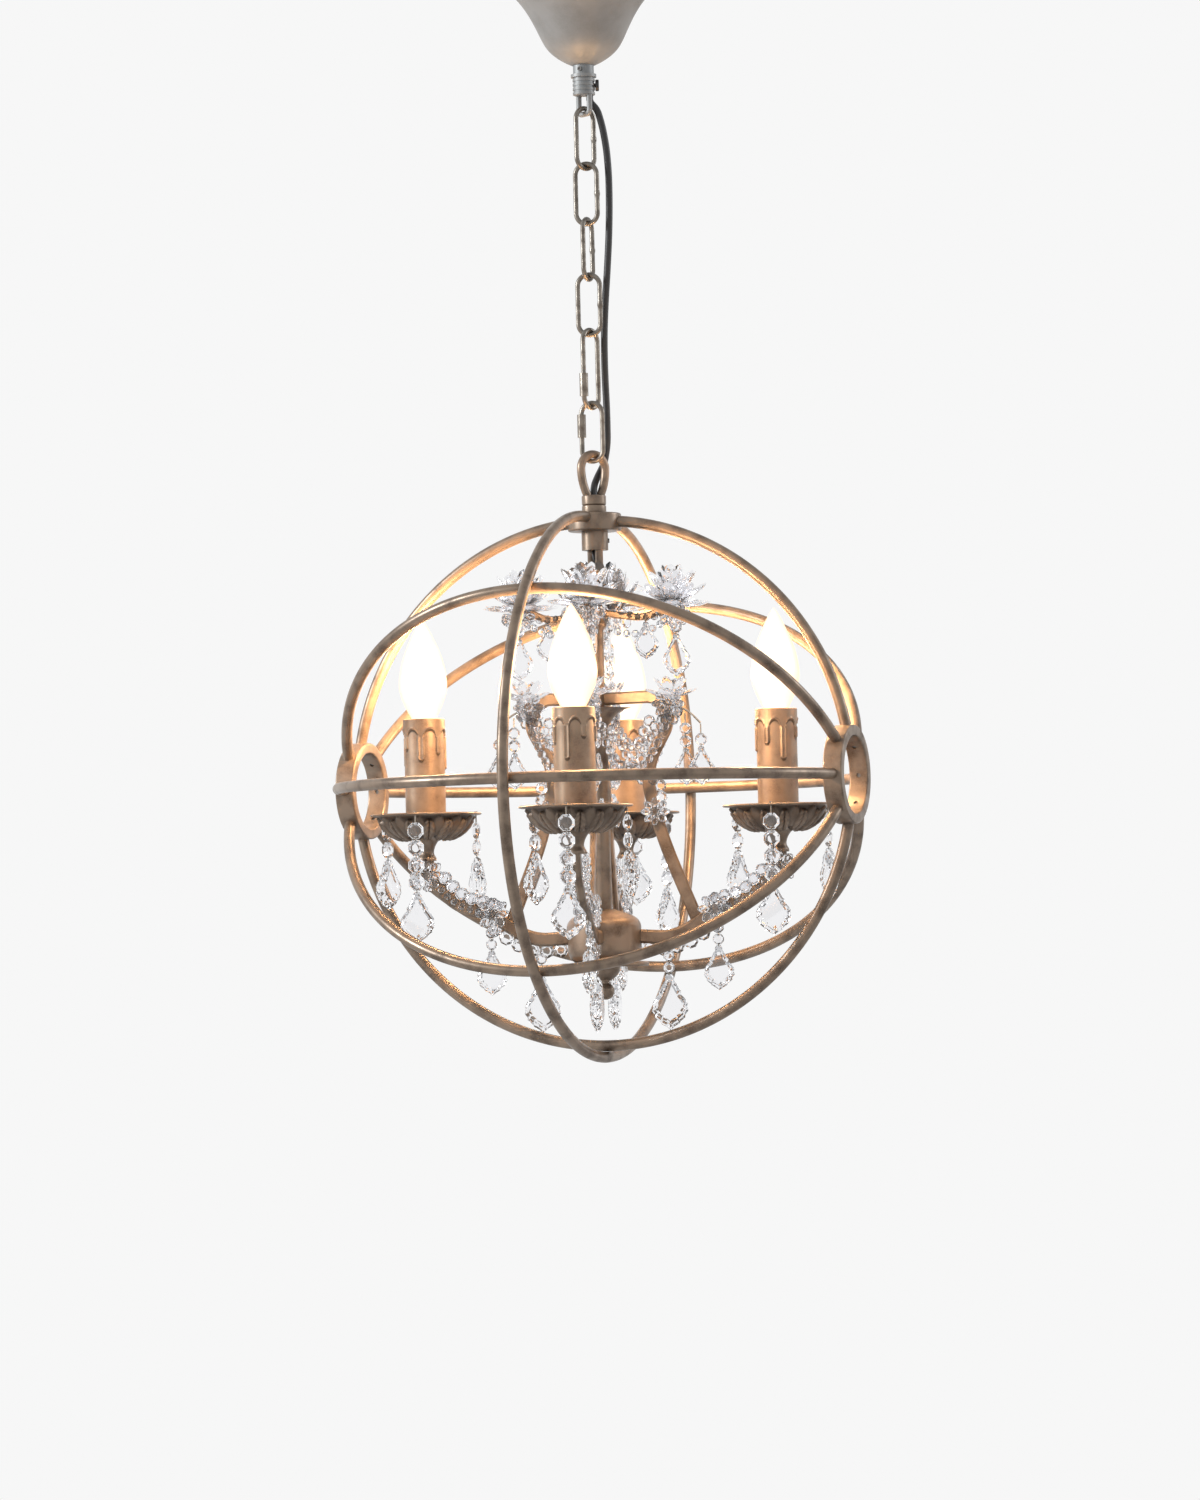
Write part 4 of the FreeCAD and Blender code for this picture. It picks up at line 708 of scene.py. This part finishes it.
def pearOutline(width, height):
    # half widths at heights below the eye, mirrored: narrow neck, stepped shoulders, lobes and a point
    right = [(0.14, 0.0), (0.24, 0.05), (0.2, 0.1), (0.36, 0.17), (0.5, 0.27), (0.62, 0.31), (0.6, 0.36),
             (0.82, 0.44), (0.98, 0.53), (0.93, 0.58), (1.0, 0.66), (0.84, 0.73), (0.83, 0.78), (0.56, 0.85),
             (0.5, 0.89), (0.22, 0.94)]
    half = np.array([(x * width / 2, -h * height) for x, h in right])
    return np.vstack([half, [(0, -height)], half[::-1] * [-1, 1]])


def octagonOutline(radius):
    # eight points on a circle, with flats at the top and the sides
    a = np.radians(22.5 + 45.0 * np.arange(8))
    return np.stack([radius * np.sin(a), radius * np.cos(a)], -1)


# each cut is a list of (share of the outline, share of the half thickness), from the rim to the middle
stoneRings = [(1.0, 0.18), (0.8, 0.62), (0.52, 1.0), (0.0, 1.0)]
pearRings = [(1.0, 0.16), (0.92, 0.55), (0.8, 0.72), (0.7, 1.0), (0.0, 1.0)]
leafRings = [(1.0, 0.25), (0.72, 0.7), (0.4, 1.0), (0.0, 1.0)]
petalRings = [(1.0, 0.2), (0.55, 1.0), (0.0, 1.0)]
buttonRings = [(1.0, 0.3), (0.6, 1.0), (0.0, 1.0)]


def shifted(part, x=0.0, y=0.0, z=0.0):
    return part[0] + [x, y, z], part[1]


def tilted(part, degrees):
    # leaned over about Y, so that what stands up leans towards +X
    verts, faces = part
    c, s = math.cos(math.radians(degrees)), math.sin(math.radians(degrees))
    x, y, z = verts[:, 0], verts[:, 1], verts[:, 2]
    return np.stack([x * c + z * s, y, z * c - x * s], -1), faces


def pear(width, height, top):
    # a flat drop whose eye is at top
    return shifted(gem(pearOutline(width, height), crystal["pearThickness"], pearRings), z=top)


def octagonStone(radius, middle, thickness):
    # a cut octagon at a height
    return shifted(gem(octagonOutline(radius), thickness, stoneRings), z=middle)


def pinWire(low, high, radius):
    # straight wire along Z between two heights
    path = np.stack([np.zeros(2), np.zeros(2), np.array([high, low])], -1)
    return carried(path, radius, crystal["pinSides"], (1, 0, 0))


def strand(octagons):
    # a headed pin through the pan's lip, octagons on short pins, and a pear drop
    rim, glass, link = candle["panRim"], [], crystal["linkOverlap"]
    headLow, headHigh, headRadius = crystal["pinHead"]
    low = rim - crystal["pinLength"]
    pins = [pinWire(low, rim + crystal["pinRise"], crystal["pinRadius"]),
            pinWire(rim + headLow, rim + headHigh, headRadius)]
    for _ in range(octagons):
        middle = low - crystal["seat"] - crystal["octagonRadius"] * math.cos(math.radians(22.5))
        glass.append(octagonStone(crystal["octagonRadius"], middle, crystal["octagonThickness"]))
        low = 2 * middle - low
        pins.append(pinWire(low - crystal["pinGap"] - link, low + link, crystal["linkRadius"]))
        low -= crystal["pinGap"]
    glass.append(pear(crystal["pearWidth"], crystal["pearHeight"], low - crystal["seat"]))
    return joined(glass), joined(pins)


def addPendants():
    # three strands on each pan, on pieces of their own because they swing
    for i, place in enumerate(places):
        cx, cy = candlePlace(i)
        for k, (heading, octagons) in enumerate(zip(crystal["headings"], crystal["octagons"])):
            turn = heading + (crystal["rearTurn"] if place == "rear" else 0)
            a = math.radians(turn)
            at = (cx + crystal["pinCircle"] * math.cos(a), cy + crystal["pinCircle"] * math.sin(a), 0)
            glass, pins = strand(octagons)
            node, name = f"pendant_{place}_{k + 1}", f"{place.capitalize()}{k + 1}"
            addPiece("pendant" + name, [placed(glass, turn, at)], crystalGlass, node, [node], flat=True)
            addPiece("pendantPins" + name, [placed(pins, turn, at)], pinSilver, node, ())


addPendants()


armLine = roundedLine([(21.2, 0, -686.5), (53.6, 0, -688.5), (80.3, 0, -668.5), (105.8, 0, -662.5),
                       (127.5, 0, -638.5), (127.5, 0, -629.0)])
lyreLine = roundedLine([(43.4, 0, -515.5), (51.0, 0, -533.5), (31.9, 0, -568.5), (43.4, 0, -616.5)])
stones = {"bead": 2.9, "petals": 8, "petalThickness": 3.4, "button": (3.0, 5.2), "leafWidth": 0.52,
          "leafThickness": 0.14, "hangPin": (4.0, 3.0), "hangGap": 0.6, "hangThickness": 3.6, "hangLink": (1.5, 2.0),
          "hangStone": 4.6}


def beadMesh(radius, at, spin):
    # a faceted ball: a few heights on a half circle spun in eight, so that it sparkles without many faces
    h = np.radians([-90, -50, -18, 18, 50, 90])
    profile = np.stack([radius * np.cos(h), radius * np.sin(h)], -1)
    verts, faces = spun(profile, 8)
    return turned(verts, spin) + np.asarray(at, float), faces


def rosetteMesh(size=1.0):
    # petals of cut glass round a small button, seen along Y
    petal = np.array([(0.0, 2.4), (1.7, 4.4), (2.5, 7.0), (1.3, 9.4), (0.0, 10.0), (-1.3, 9.4), (-2.5, 7.0),
                      (-1.7, 4.4)])
    parts = []
    for a in np.arange(stones["petals"]) * 2 * math.pi / stones["petals"]:
        c, s = math.cos(a), math.sin(a)
        flat = np.stack([petal[:, 0] * c + petal[:, 1] * s, petal[:, 1] * c - petal[:, 0] * s], -1)
        parts.append(gem(flat, stones["petalThickness"], petalRings))
    radius, thickness = stones["button"]
    parts.append(gem(octagonOutline(radius), thickness, buttonRings))
    verts, faces = placed(joined(parts), 90)
    return verts * size, faces


def leafStone(height):
    # a rounded leaf that stands on its narrow end, its widths and heights shares of its height
    w = height * stones["leafWidth"] / 2
    right = [(w * 0.6, height * 0.9), (w, height * 0.62), (w * 0.85, height * 0.3), (w * 0.45, 0)]
    outline = [(0, height), *right, *[(-x, z) for x, z in right[::-1]]]
    return gem(outline, height * stones["leafThickness"], leafRings)


def bouquet(rows):
    # rings of leaves that lean outwards, each row its own count, radius, height, lean and level
    parts = []
    for count, radius, height, lean, level in rows:
        leaf = shifted(tilted(leafStone(height), lean), radius, 0, level)
        parts += [placed(leaf, 360.0 * i / count + 11 * level) for i in range(count)]
    return joined(parts)


def leaningStone(size, thickness, at, lean, turn=90):
    # an octagon turned about Z, leaned about Y and put in its place
    return shifted(tilted(placed(octagonStone(size, 0, thickness), turn), lean), *at)


def hanging(x, z, count, width, height, stone=stones["hangStone"]):
    # octagons one below the other and a pear drop, with their pins, all in the XZ plane and seen along Y
    below, above = stones["hangPin"]
    linkLow, linkHigh = stones["hangLink"]
    glass, pins, low = [], [pinWire(z - below, z + above, crystal["pinRadius"])], z - below
    for _ in range(count):
        glass.append(placed(octagonStone(stone, low - stone * 0.92, stones["hangThickness"]), 90))
        low -= stone * 1.84 + stones["hangGap"]
        pins.append(pinWire(low - linkLow, low + linkHigh, crystal["linkRadius"]))
    glass.append(placed(pear(width, height, low), 90))
    return [shifted(part, x) for part in glass], [shifted(part, x) for part in pins]


def hangAll(drops, glass, pins, **sizes):
    for drop in drops:
        moreGlass, morePins = hanging(*drop, **sizes)
        glass += moreGlass
        pins += morePins


def stringOf(first, last, sag, radius, pitch):
    # beads on a thread between two points, hanging in a parabola
    t = np.linspace(0, 1, 60)[:, None]
    line = np.asarray(first) + (np.asarray(last) - np.asarray(first)) * t
    line[:, 2] -= sag * 4 * t[:, 0] * (1 - t[:, 0])
    return [beadMesh(radius, at, 23 * k) for k, at in enumerate(resampled(line, pitch))]


def beside(line, distance, side):
    # the line moved square to itself in the XZ plane, up (1) or down (-1)
    run = np.gradient(line, axis=0)
    run /= np.linalg.norm(run, axis=1, keepdims=True)
    over = np.cross([0, 1, 0], run)
    over *= np.sign(over[:, 2:] + 1e-9) * side
    return line + over * distance


armSet = {"upper": {"stone": 4.6, "thickness": 3.4, "gap": 7.6, "pitch": 8.6, "side": 3.4, "lean": 14},
          "upperFrom": 82, "upperTop": -646,
          "beads": {"size": 0.85, "pitch": 6.4, "side": 5.0}, "beadsFrom": 84, "beadsTop": -650,
          "lower": {"stone": 5.4, "thickness": 4.0, "gap": 8.2, "pitch": 10.4, "lean": 18},
          "lowerFrom": 32, "lowerTo": 76,
          "rosettes": [(127.5, -639.4), (80.3, -668.5)], "rosetteSide": 6.6, "rosetteSize": 1.2,
          "drops": [(46.0, -693.5, 2, 26.0, 40.0), (82.0, -674.0, 2, 22.0, 32.0)], "dropStone": 4.2}


def stoneRow(line, row, sides=(0,)):
    # octagons at equal distances along a line, leaned to and fro in turn
    return [leaningStone(row["stone"], row["thickness"], (at[0], y, at[2]), row["lean"] * (-1) ** k)
            for k, at in enumerate(resampled(line, row["pitch"])) for y in sides]


def armTrim():
    # two rows of octagons above the arm and beads at its sides, one row below it, rosettes at its knots, drops
    pins = []
    even = resampled(armLine, 1.0)
    x, z = even[:, 0], even[:, 2]
    upper, beads, lower = armSet["upper"], armSet["beads"], armSet["lower"]
    above = beside(even[(x > armSet["upperFrom"]) & (z < armSet["upperTop"])], upper["gap"], 1)
    glass = stoneRow(above, upper, (-upper["side"], upper["side"]))
    outer = even[(x > armSet["beadsFrom"]) & (z < armSet["beadsTop"])]
    for k, at in enumerate(resampled(outer, beads["pitch"])):
        for y in (-beads["side"], beads["side"]):
            glass.append(beadMesh(stones["bead"] * beads["size"], at + [0, y, 0], 17 * k))
    below = beside(even[(x > armSet["lowerFrom"]) & (x < armSet["lowerTo"])], lower["gap"], -1)
    glass += stoneRow(below, lower)
    rose = rosetteMesh(armSet["rosetteSize"])
    for x, z in armSet["rosettes"]:
        glass += [shifted(rose, x, y, z) for y in (-armSet["rosetteSide"], armSet["rosetteSide"])]
    hangAll(armSet["drops"], glass, pins, stone=armSet["dropStone"])
    return glass, pins


crownSet = {"end": (55.0, -447.0), "rosetteSide": 7.0, "rosetteSize": 1.15, "rosetteDrop": 9.0,
            "flower": [(9, 6.5, 22.0, 84.0, -4.0), (9, 6.0, 23.0, 58.0, -1.0), (8, 4.5, 23.0, 34.0, 2.0),
                       (5, 2.5, 21.0, 12.0, 5.0)],
            "stone": 4.6, "stoneThickness": 4.0, "stoneHeadings": (-55, 0, 55), "stoneReach": 9.0, "stoneDrop": 11.0,
            "stoneSpread": 0.22, "strings": [(-4, -13, (9.0, 0, -466.0), 7.0), (-2, -8, (13.0, 0, -452.0), 5.0)],
            "stringPitch": 6.2, "drops": [(57.0, -458.0, 1, 20.0, 31.0), (35.3, -458.0, 0, 18.0, 27.0)],
            "middle": -450.0, "middleFlower": [(9, 17.0, 25.0, 34.0, -3.0), (9, 15.5, 25.0, 14.0, 2.0),
                                               (9, 10.6, 23.0, 8.0, 9.0)]}


def crownTrim():
    # a flower of leaves at the end of a crown arm, rosettes and octagons round its foot, strings to the column, drops
    pins = []
    x, z = crownSet["end"]
    glass = [shifted(bouquet(crownSet["flower"]), x, 0, z)]
    rose, side = rosetteMesh(crownSet["rosetteSize"]), crownSet["rosetteSide"]
    glass += [shifted(rose, x, y, z - crownSet["rosetteDrop"]) for y in (-side, side)]
    for heading in crownSet["stoneHeadings"]:
        stone = placed(octagonStone(crownSet["stone"], 0, crownSet["stoneThickness"]), 90 + heading)
        glass.append(shifted(stone, x + crownSet["stoneReach"], crownSet["stoneSpread"] * heading,
                             z - crownSet["stoneDrop"]))
    for dx, dz, last, sag in crownSet["strings"]:
        glass += stringOf((x + dx, 0, z + dz), last, sag, stones["bead"], crownSet["stringPitch"])
    hangAll(crownSet["drops"], glass, pins)
    return glass, pins


lyreSet = {"top": (56.0, -522.0), "foot": (39.0, -598.0), "flowerAt": (-4, 6),
           "flower": [(7, 4.5, 16.0, 70.0, 0.0), (6, 3.5, 15.0, 36.0, 2.0)], "rosetteSide": 5.8, "rosetteSize": 1.15,
           "stone": 4.4, "stoneThickness": 3.4, "pitch": 8.2, "lean": 14, "side": 2.6, "turns": (90, 130),
           "endRosette": 1, "sideRosettes": (-6, 1), "stringPitch": 2.1,
           "rows": [(7.6, -526.0, -588.0), (13.2, -532.0, -566.0)],
           "drops": [(62.0, -531.0, 2, 18.0, 27.0), (73.0, -539.0, 1, 19.0, 28.0)],
           "reach": [(50.0, 0, -521.0), (64.0, 0, -526.0), (73.0, 0, -535.5)], "reachRadius": 0.7,
           "stringReach": 50.0, "strings": [(24.0, 2.9, -528.0), (37.0, 3.3, -531.0)], "stringTurns": (4, 86)}


def lyreTrim():
    # leaves and rosettes at a lyre's top and foot, two rows of octagons along its outside, drops on a wire, and
    # strings of beads to the next lyre
    pins = []
    x, z = lyreSet["top"]
    dx, dz = lyreSet["flowerAt"]
    small, large = rosetteMesh(), rosetteMesh(lyreSet["rosetteSize"])
    glass = [shifted(bouquet(lyreSet["flower"]), x + dx, 0, z + dz),
             shifted(placed(small, 90), x + lyreSet["endRosette"], 0, z)]
    dx, dz = lyreSet["sideRosettes"]
    for y in (-lyreSet["rosetteSide"], lyreSet["rosetteSide"]):
        glass += [shifted(large, x + dx, y, z + dz), shifted(small, lyreSet["foot"][0], y, lyreSet["foot"][1])]
    even = resampled(lyreLine[1:], 1.0)
    for gap, top, low in lyreSet["rows"]:
        row = beside(even, gap, 1)
        row = row[(row[:, 2] > low) & (row[:, 2] < top)]
        for k, at in enumerate(resampled(row, lyreSet["pitch"])):
            at = (at[0], lyreSet["side"] * (-1) ** k, at[2])
            glass.append(leaningStone(lyreSet["stone"], lyreSet["stoneThickness"], at, lyreSet["lean"] * (-1) ** k,
                                      lyreSet["turns"][k % 2]))
    hangAll(lyreSet["drops"], glass, pins)
    pins.append(carried(roundedLine(lyreSet["reach"]), lyreSet["reachRadius"], crystal["pinSides"], (0, 1, 0)))
    for sag, size, start in lyreSet["strings"]:
        first, last = [turned(np.array([lyreSet["stringReach"], 0, start]), turn) for turn in lyreSet["stringTurns"]]
        glass += stringOf(first, last, sag, size, lyreSet["stringPitch"] * size)
    return glass, pins


def addTrim():
    # one arm's trim, four times round, and the leaves round the bell in the middle
    glass, pins = [], []
    for moreGlass, morePins in (armTrim(), crownTrim(), lyreTrim()):
        glass += moreGlass
        pins += morePins
    glass, pins = joined(glass), joined(pins)
    turns = [candle["firstTurn"] + 90 * i for i in range(4)]
    leavesInMiddle = shifted(bouquet(crownSet["middleFlower"]), z=crownSet["middle"])
    addPiece("crystalTrim", [placed(glass, turn) for turn in turns] + [leavesInMiddle], crystalGlass, "orb",
             ["crystal_trim"], flat=True)
    addPiece("trimPins", [placed(pins, turn) for turn in turns], pinSilver, "orb", ())


addTrim()
print("crystals made")


# Floor, light and camera.

studio = {"floorHeight": -1.9, "floorSize": 8.0, "floorColour": 0.86, "floorShare": 0.55, "floorLift": 1.15,
          "fadeFrom": 0.6, "fadeTo": 3.4, "background": 0.93, "worldLight": 0.45, "coolWhite": (0.95, 0.97, 1.0),
          "keyPower": 90.0, "keyAt": (-2.6, -1.6, 0.5), "keyColour": (0.95, 0.98, 1.0),
          "rimPower": 18.0, "rimAt": (2.2, 1.2, 0.4), "softSize": 1.2,
          "bulbPower": 2.5, "bulbHeight": -0.492, "bulbColour": (1.0, 0.6, 0.3), "bulbSize": 0.012}
eye = {"azimuth": 20.0, "elevation": -2.0, "roll": -1.4, "distance": 4.0, "lens": 134.0, "aimAbove": 0.0237}


def mixedShader(tree, share, first, second):
    node = tree.nodes.new("ShaderNodeMixShader")
    for i, socket in enumerate((share, first, second)):
        tree.links.new(socket, node.inputs[i])
    return node.outputs[0]


def floorPaper():
    # matt paper that the camera sees lifted towards the background, more so with the distance from the middle, so
    # that it keeps its shadow and has no edge; from below it isn't seen
    material, tree, shader = newMaterial("floorPaper")
    setInputs(shader, {"Base Color": (*[studio["floorColour"]] * 3, 1), "Roughness": 0.9})
    coordinates = tree.nodes.new("ShaderNodeTexCoord")
    reach = tree.nodes.new("ShaderNodeVectorMath")
    reach.operation = "LENGTH"
    tree.links.new(coordinates.outputs["Object"], reach.inputs[0])
    away, near, far = reach.outputs["Value"], studio["fadeFrom"], studio["fadeTo"]
    glow = tree.nodes.new("ShaderNodeEmission")
    level = stretched(tree, away, near, far, studio["floorLift"], studio["background"])
    tree.links.new(level, glow.inputs["Strength"])
    rays = tree.nodes.new("ShaderNodeLightPath")
    fade = stretched(tree, away, near, far, studio["floorShare"], 1.0)
    share = combined(tree, "MULTIPLY", rays.outputs["Is Camera Ray"], fade)
    lifted = mixedShader(tree, share, shader.outputs["BSDF"], glow.outputs[0])
    face = tree.nodes.new("ShaderNodeNewGeometry")
    clear = tree.nodes.new("ShaderNodeBsdfTransparent")
    sided = mixedShader(tree, face.outputs["Backfacing"], lifted, clear.outputs[0])
    tree.links.new(sided, tree.nodes["Material Output"].inputs["Surface"])
    return material


def addStudio():
    # the floor, and a world that lights softly but is seen, also in reflections and through glass, as the background
    bpy.ops.mesh.primitive_plane_add(size=studio["floorSize"], location=(0, 0, studio["floorHeight"]))
    floor = bpy.context.object
    floor.name = "studioFloor"
    floor.data.materials.append(floorPaper())
    world = bpy.data.worlds.new("studioWorld")
    bpy.context.scene.world = world
    world.use_nodes = True
    tree = world.node_tree
    tree.nodes.clear()
    output = tree.nodes.new("ShaderNodeOutputWorld")
    lighting = tree.nodes.new("ShaderNodeBackground")
    setInputs(lighting, {"Color": (*studio["coolWhite"], 1), "Strength": studio["worldLight"]})
    shown = tree.nodes.new("ShaderNodeBackground")
    setInputs(shown, {"Color": (*[studio["background"]] * 3, 1)})
    rays = tree.nodes.new("ShaderNodeLightPath").outputs
    through = combined(tree, "MAXIMUM", rays["Is Glossy Ray"], rays["Is Transmission Ray"])
    seen = combined(tree, "MAXIMUM", rays["Is Camera Ray"], through)
    mix = mixedShader(tree, seen, lighting.outputs[0], shown.outputs[0])
    tree.links.new(mix, output.inputs["Surface"])


def addLamp(name, kind, at, power, colour, size, towards=None):
    data = bpy.data.lights.new(name, kind)
    data.energy = power
    data.color = colour
    if kind == "AREA":
        data.shape = "DISK"
        data.size = size
    else:
        data.shadow_soft_size = size
    lamp = bpy.data.objects.new(name, data)
    bpy.context.scene.collection.objects.link(lamp)
    lamp.location = at
    if towards is not None:
        lamp.rotation_euler = (Vector(towards) - Vector(at)).to_track_quat("-Z", "Y").to_euler()


def addLights():
    # a large soft light from the front left, a weak one from behind, and a small warm one in each bulb
    centre = (0, 0, orb["centreHeight"] * mm)
    addLamp("keySoft", "AREA", studio["keyAt"], studio["keyPower"], studio["keyColour"], studio["softSize"], centre)
    addLamp("rimSoft", "AREA", studio["rimAt"], studio["rimPower"], studio["coolWhite"], studio["softSize"], centre)
    for i in range(4):
        cx, cy = candlePlace(i)
        addLamp("flame" + places[i].capitalize(), "POINT", (cx * mm, cy * mm, studio["bulbHeight"]),
                studio["bulbPower"], studio["bulbColour"], studio["bulbSize"])


def addCamera():
    # turned from the front by the azimuth, seen from a little below, and aimed just above the orb's centre
    data = bpy.data.cameras.new("photoCamera")
    camera = bpy.data.objects.new("photoCamera", data)
    bpy.context.scene.collection.objects.link(camera)
    data.sensor_fit = "VERTICAL"
    data.sensor_height = 36.0
    data.lens = eye["lens"]
    data.clip_end = 100.0
    aim = Vector((0, 0, orb["centreHeight"] * mm + eye["aimAbove"]))
    a, e = math.radians(eye["azimuth"]), math.radians(eye["elevation"])
    back = Vector((math.sin(a) * math.cos(e), -math.cos(a) * math.cos(e), math.sin(e)))
    camera.location = aim + back * eye["distance"]
    facing = (-back).to_track_quat("-Z", "Y").to_matrix()
    camera.rotation_euler = (facing @ Matrix.Rotation(math.radians(eye["roll"]), 3, "Z")).to_euler()
    bpy.context.scene.camera = camera


addStudio()
addLights()
addCamera()
bpy.context.scene.view_settings.view_transform = "Standard"
print("studio set")
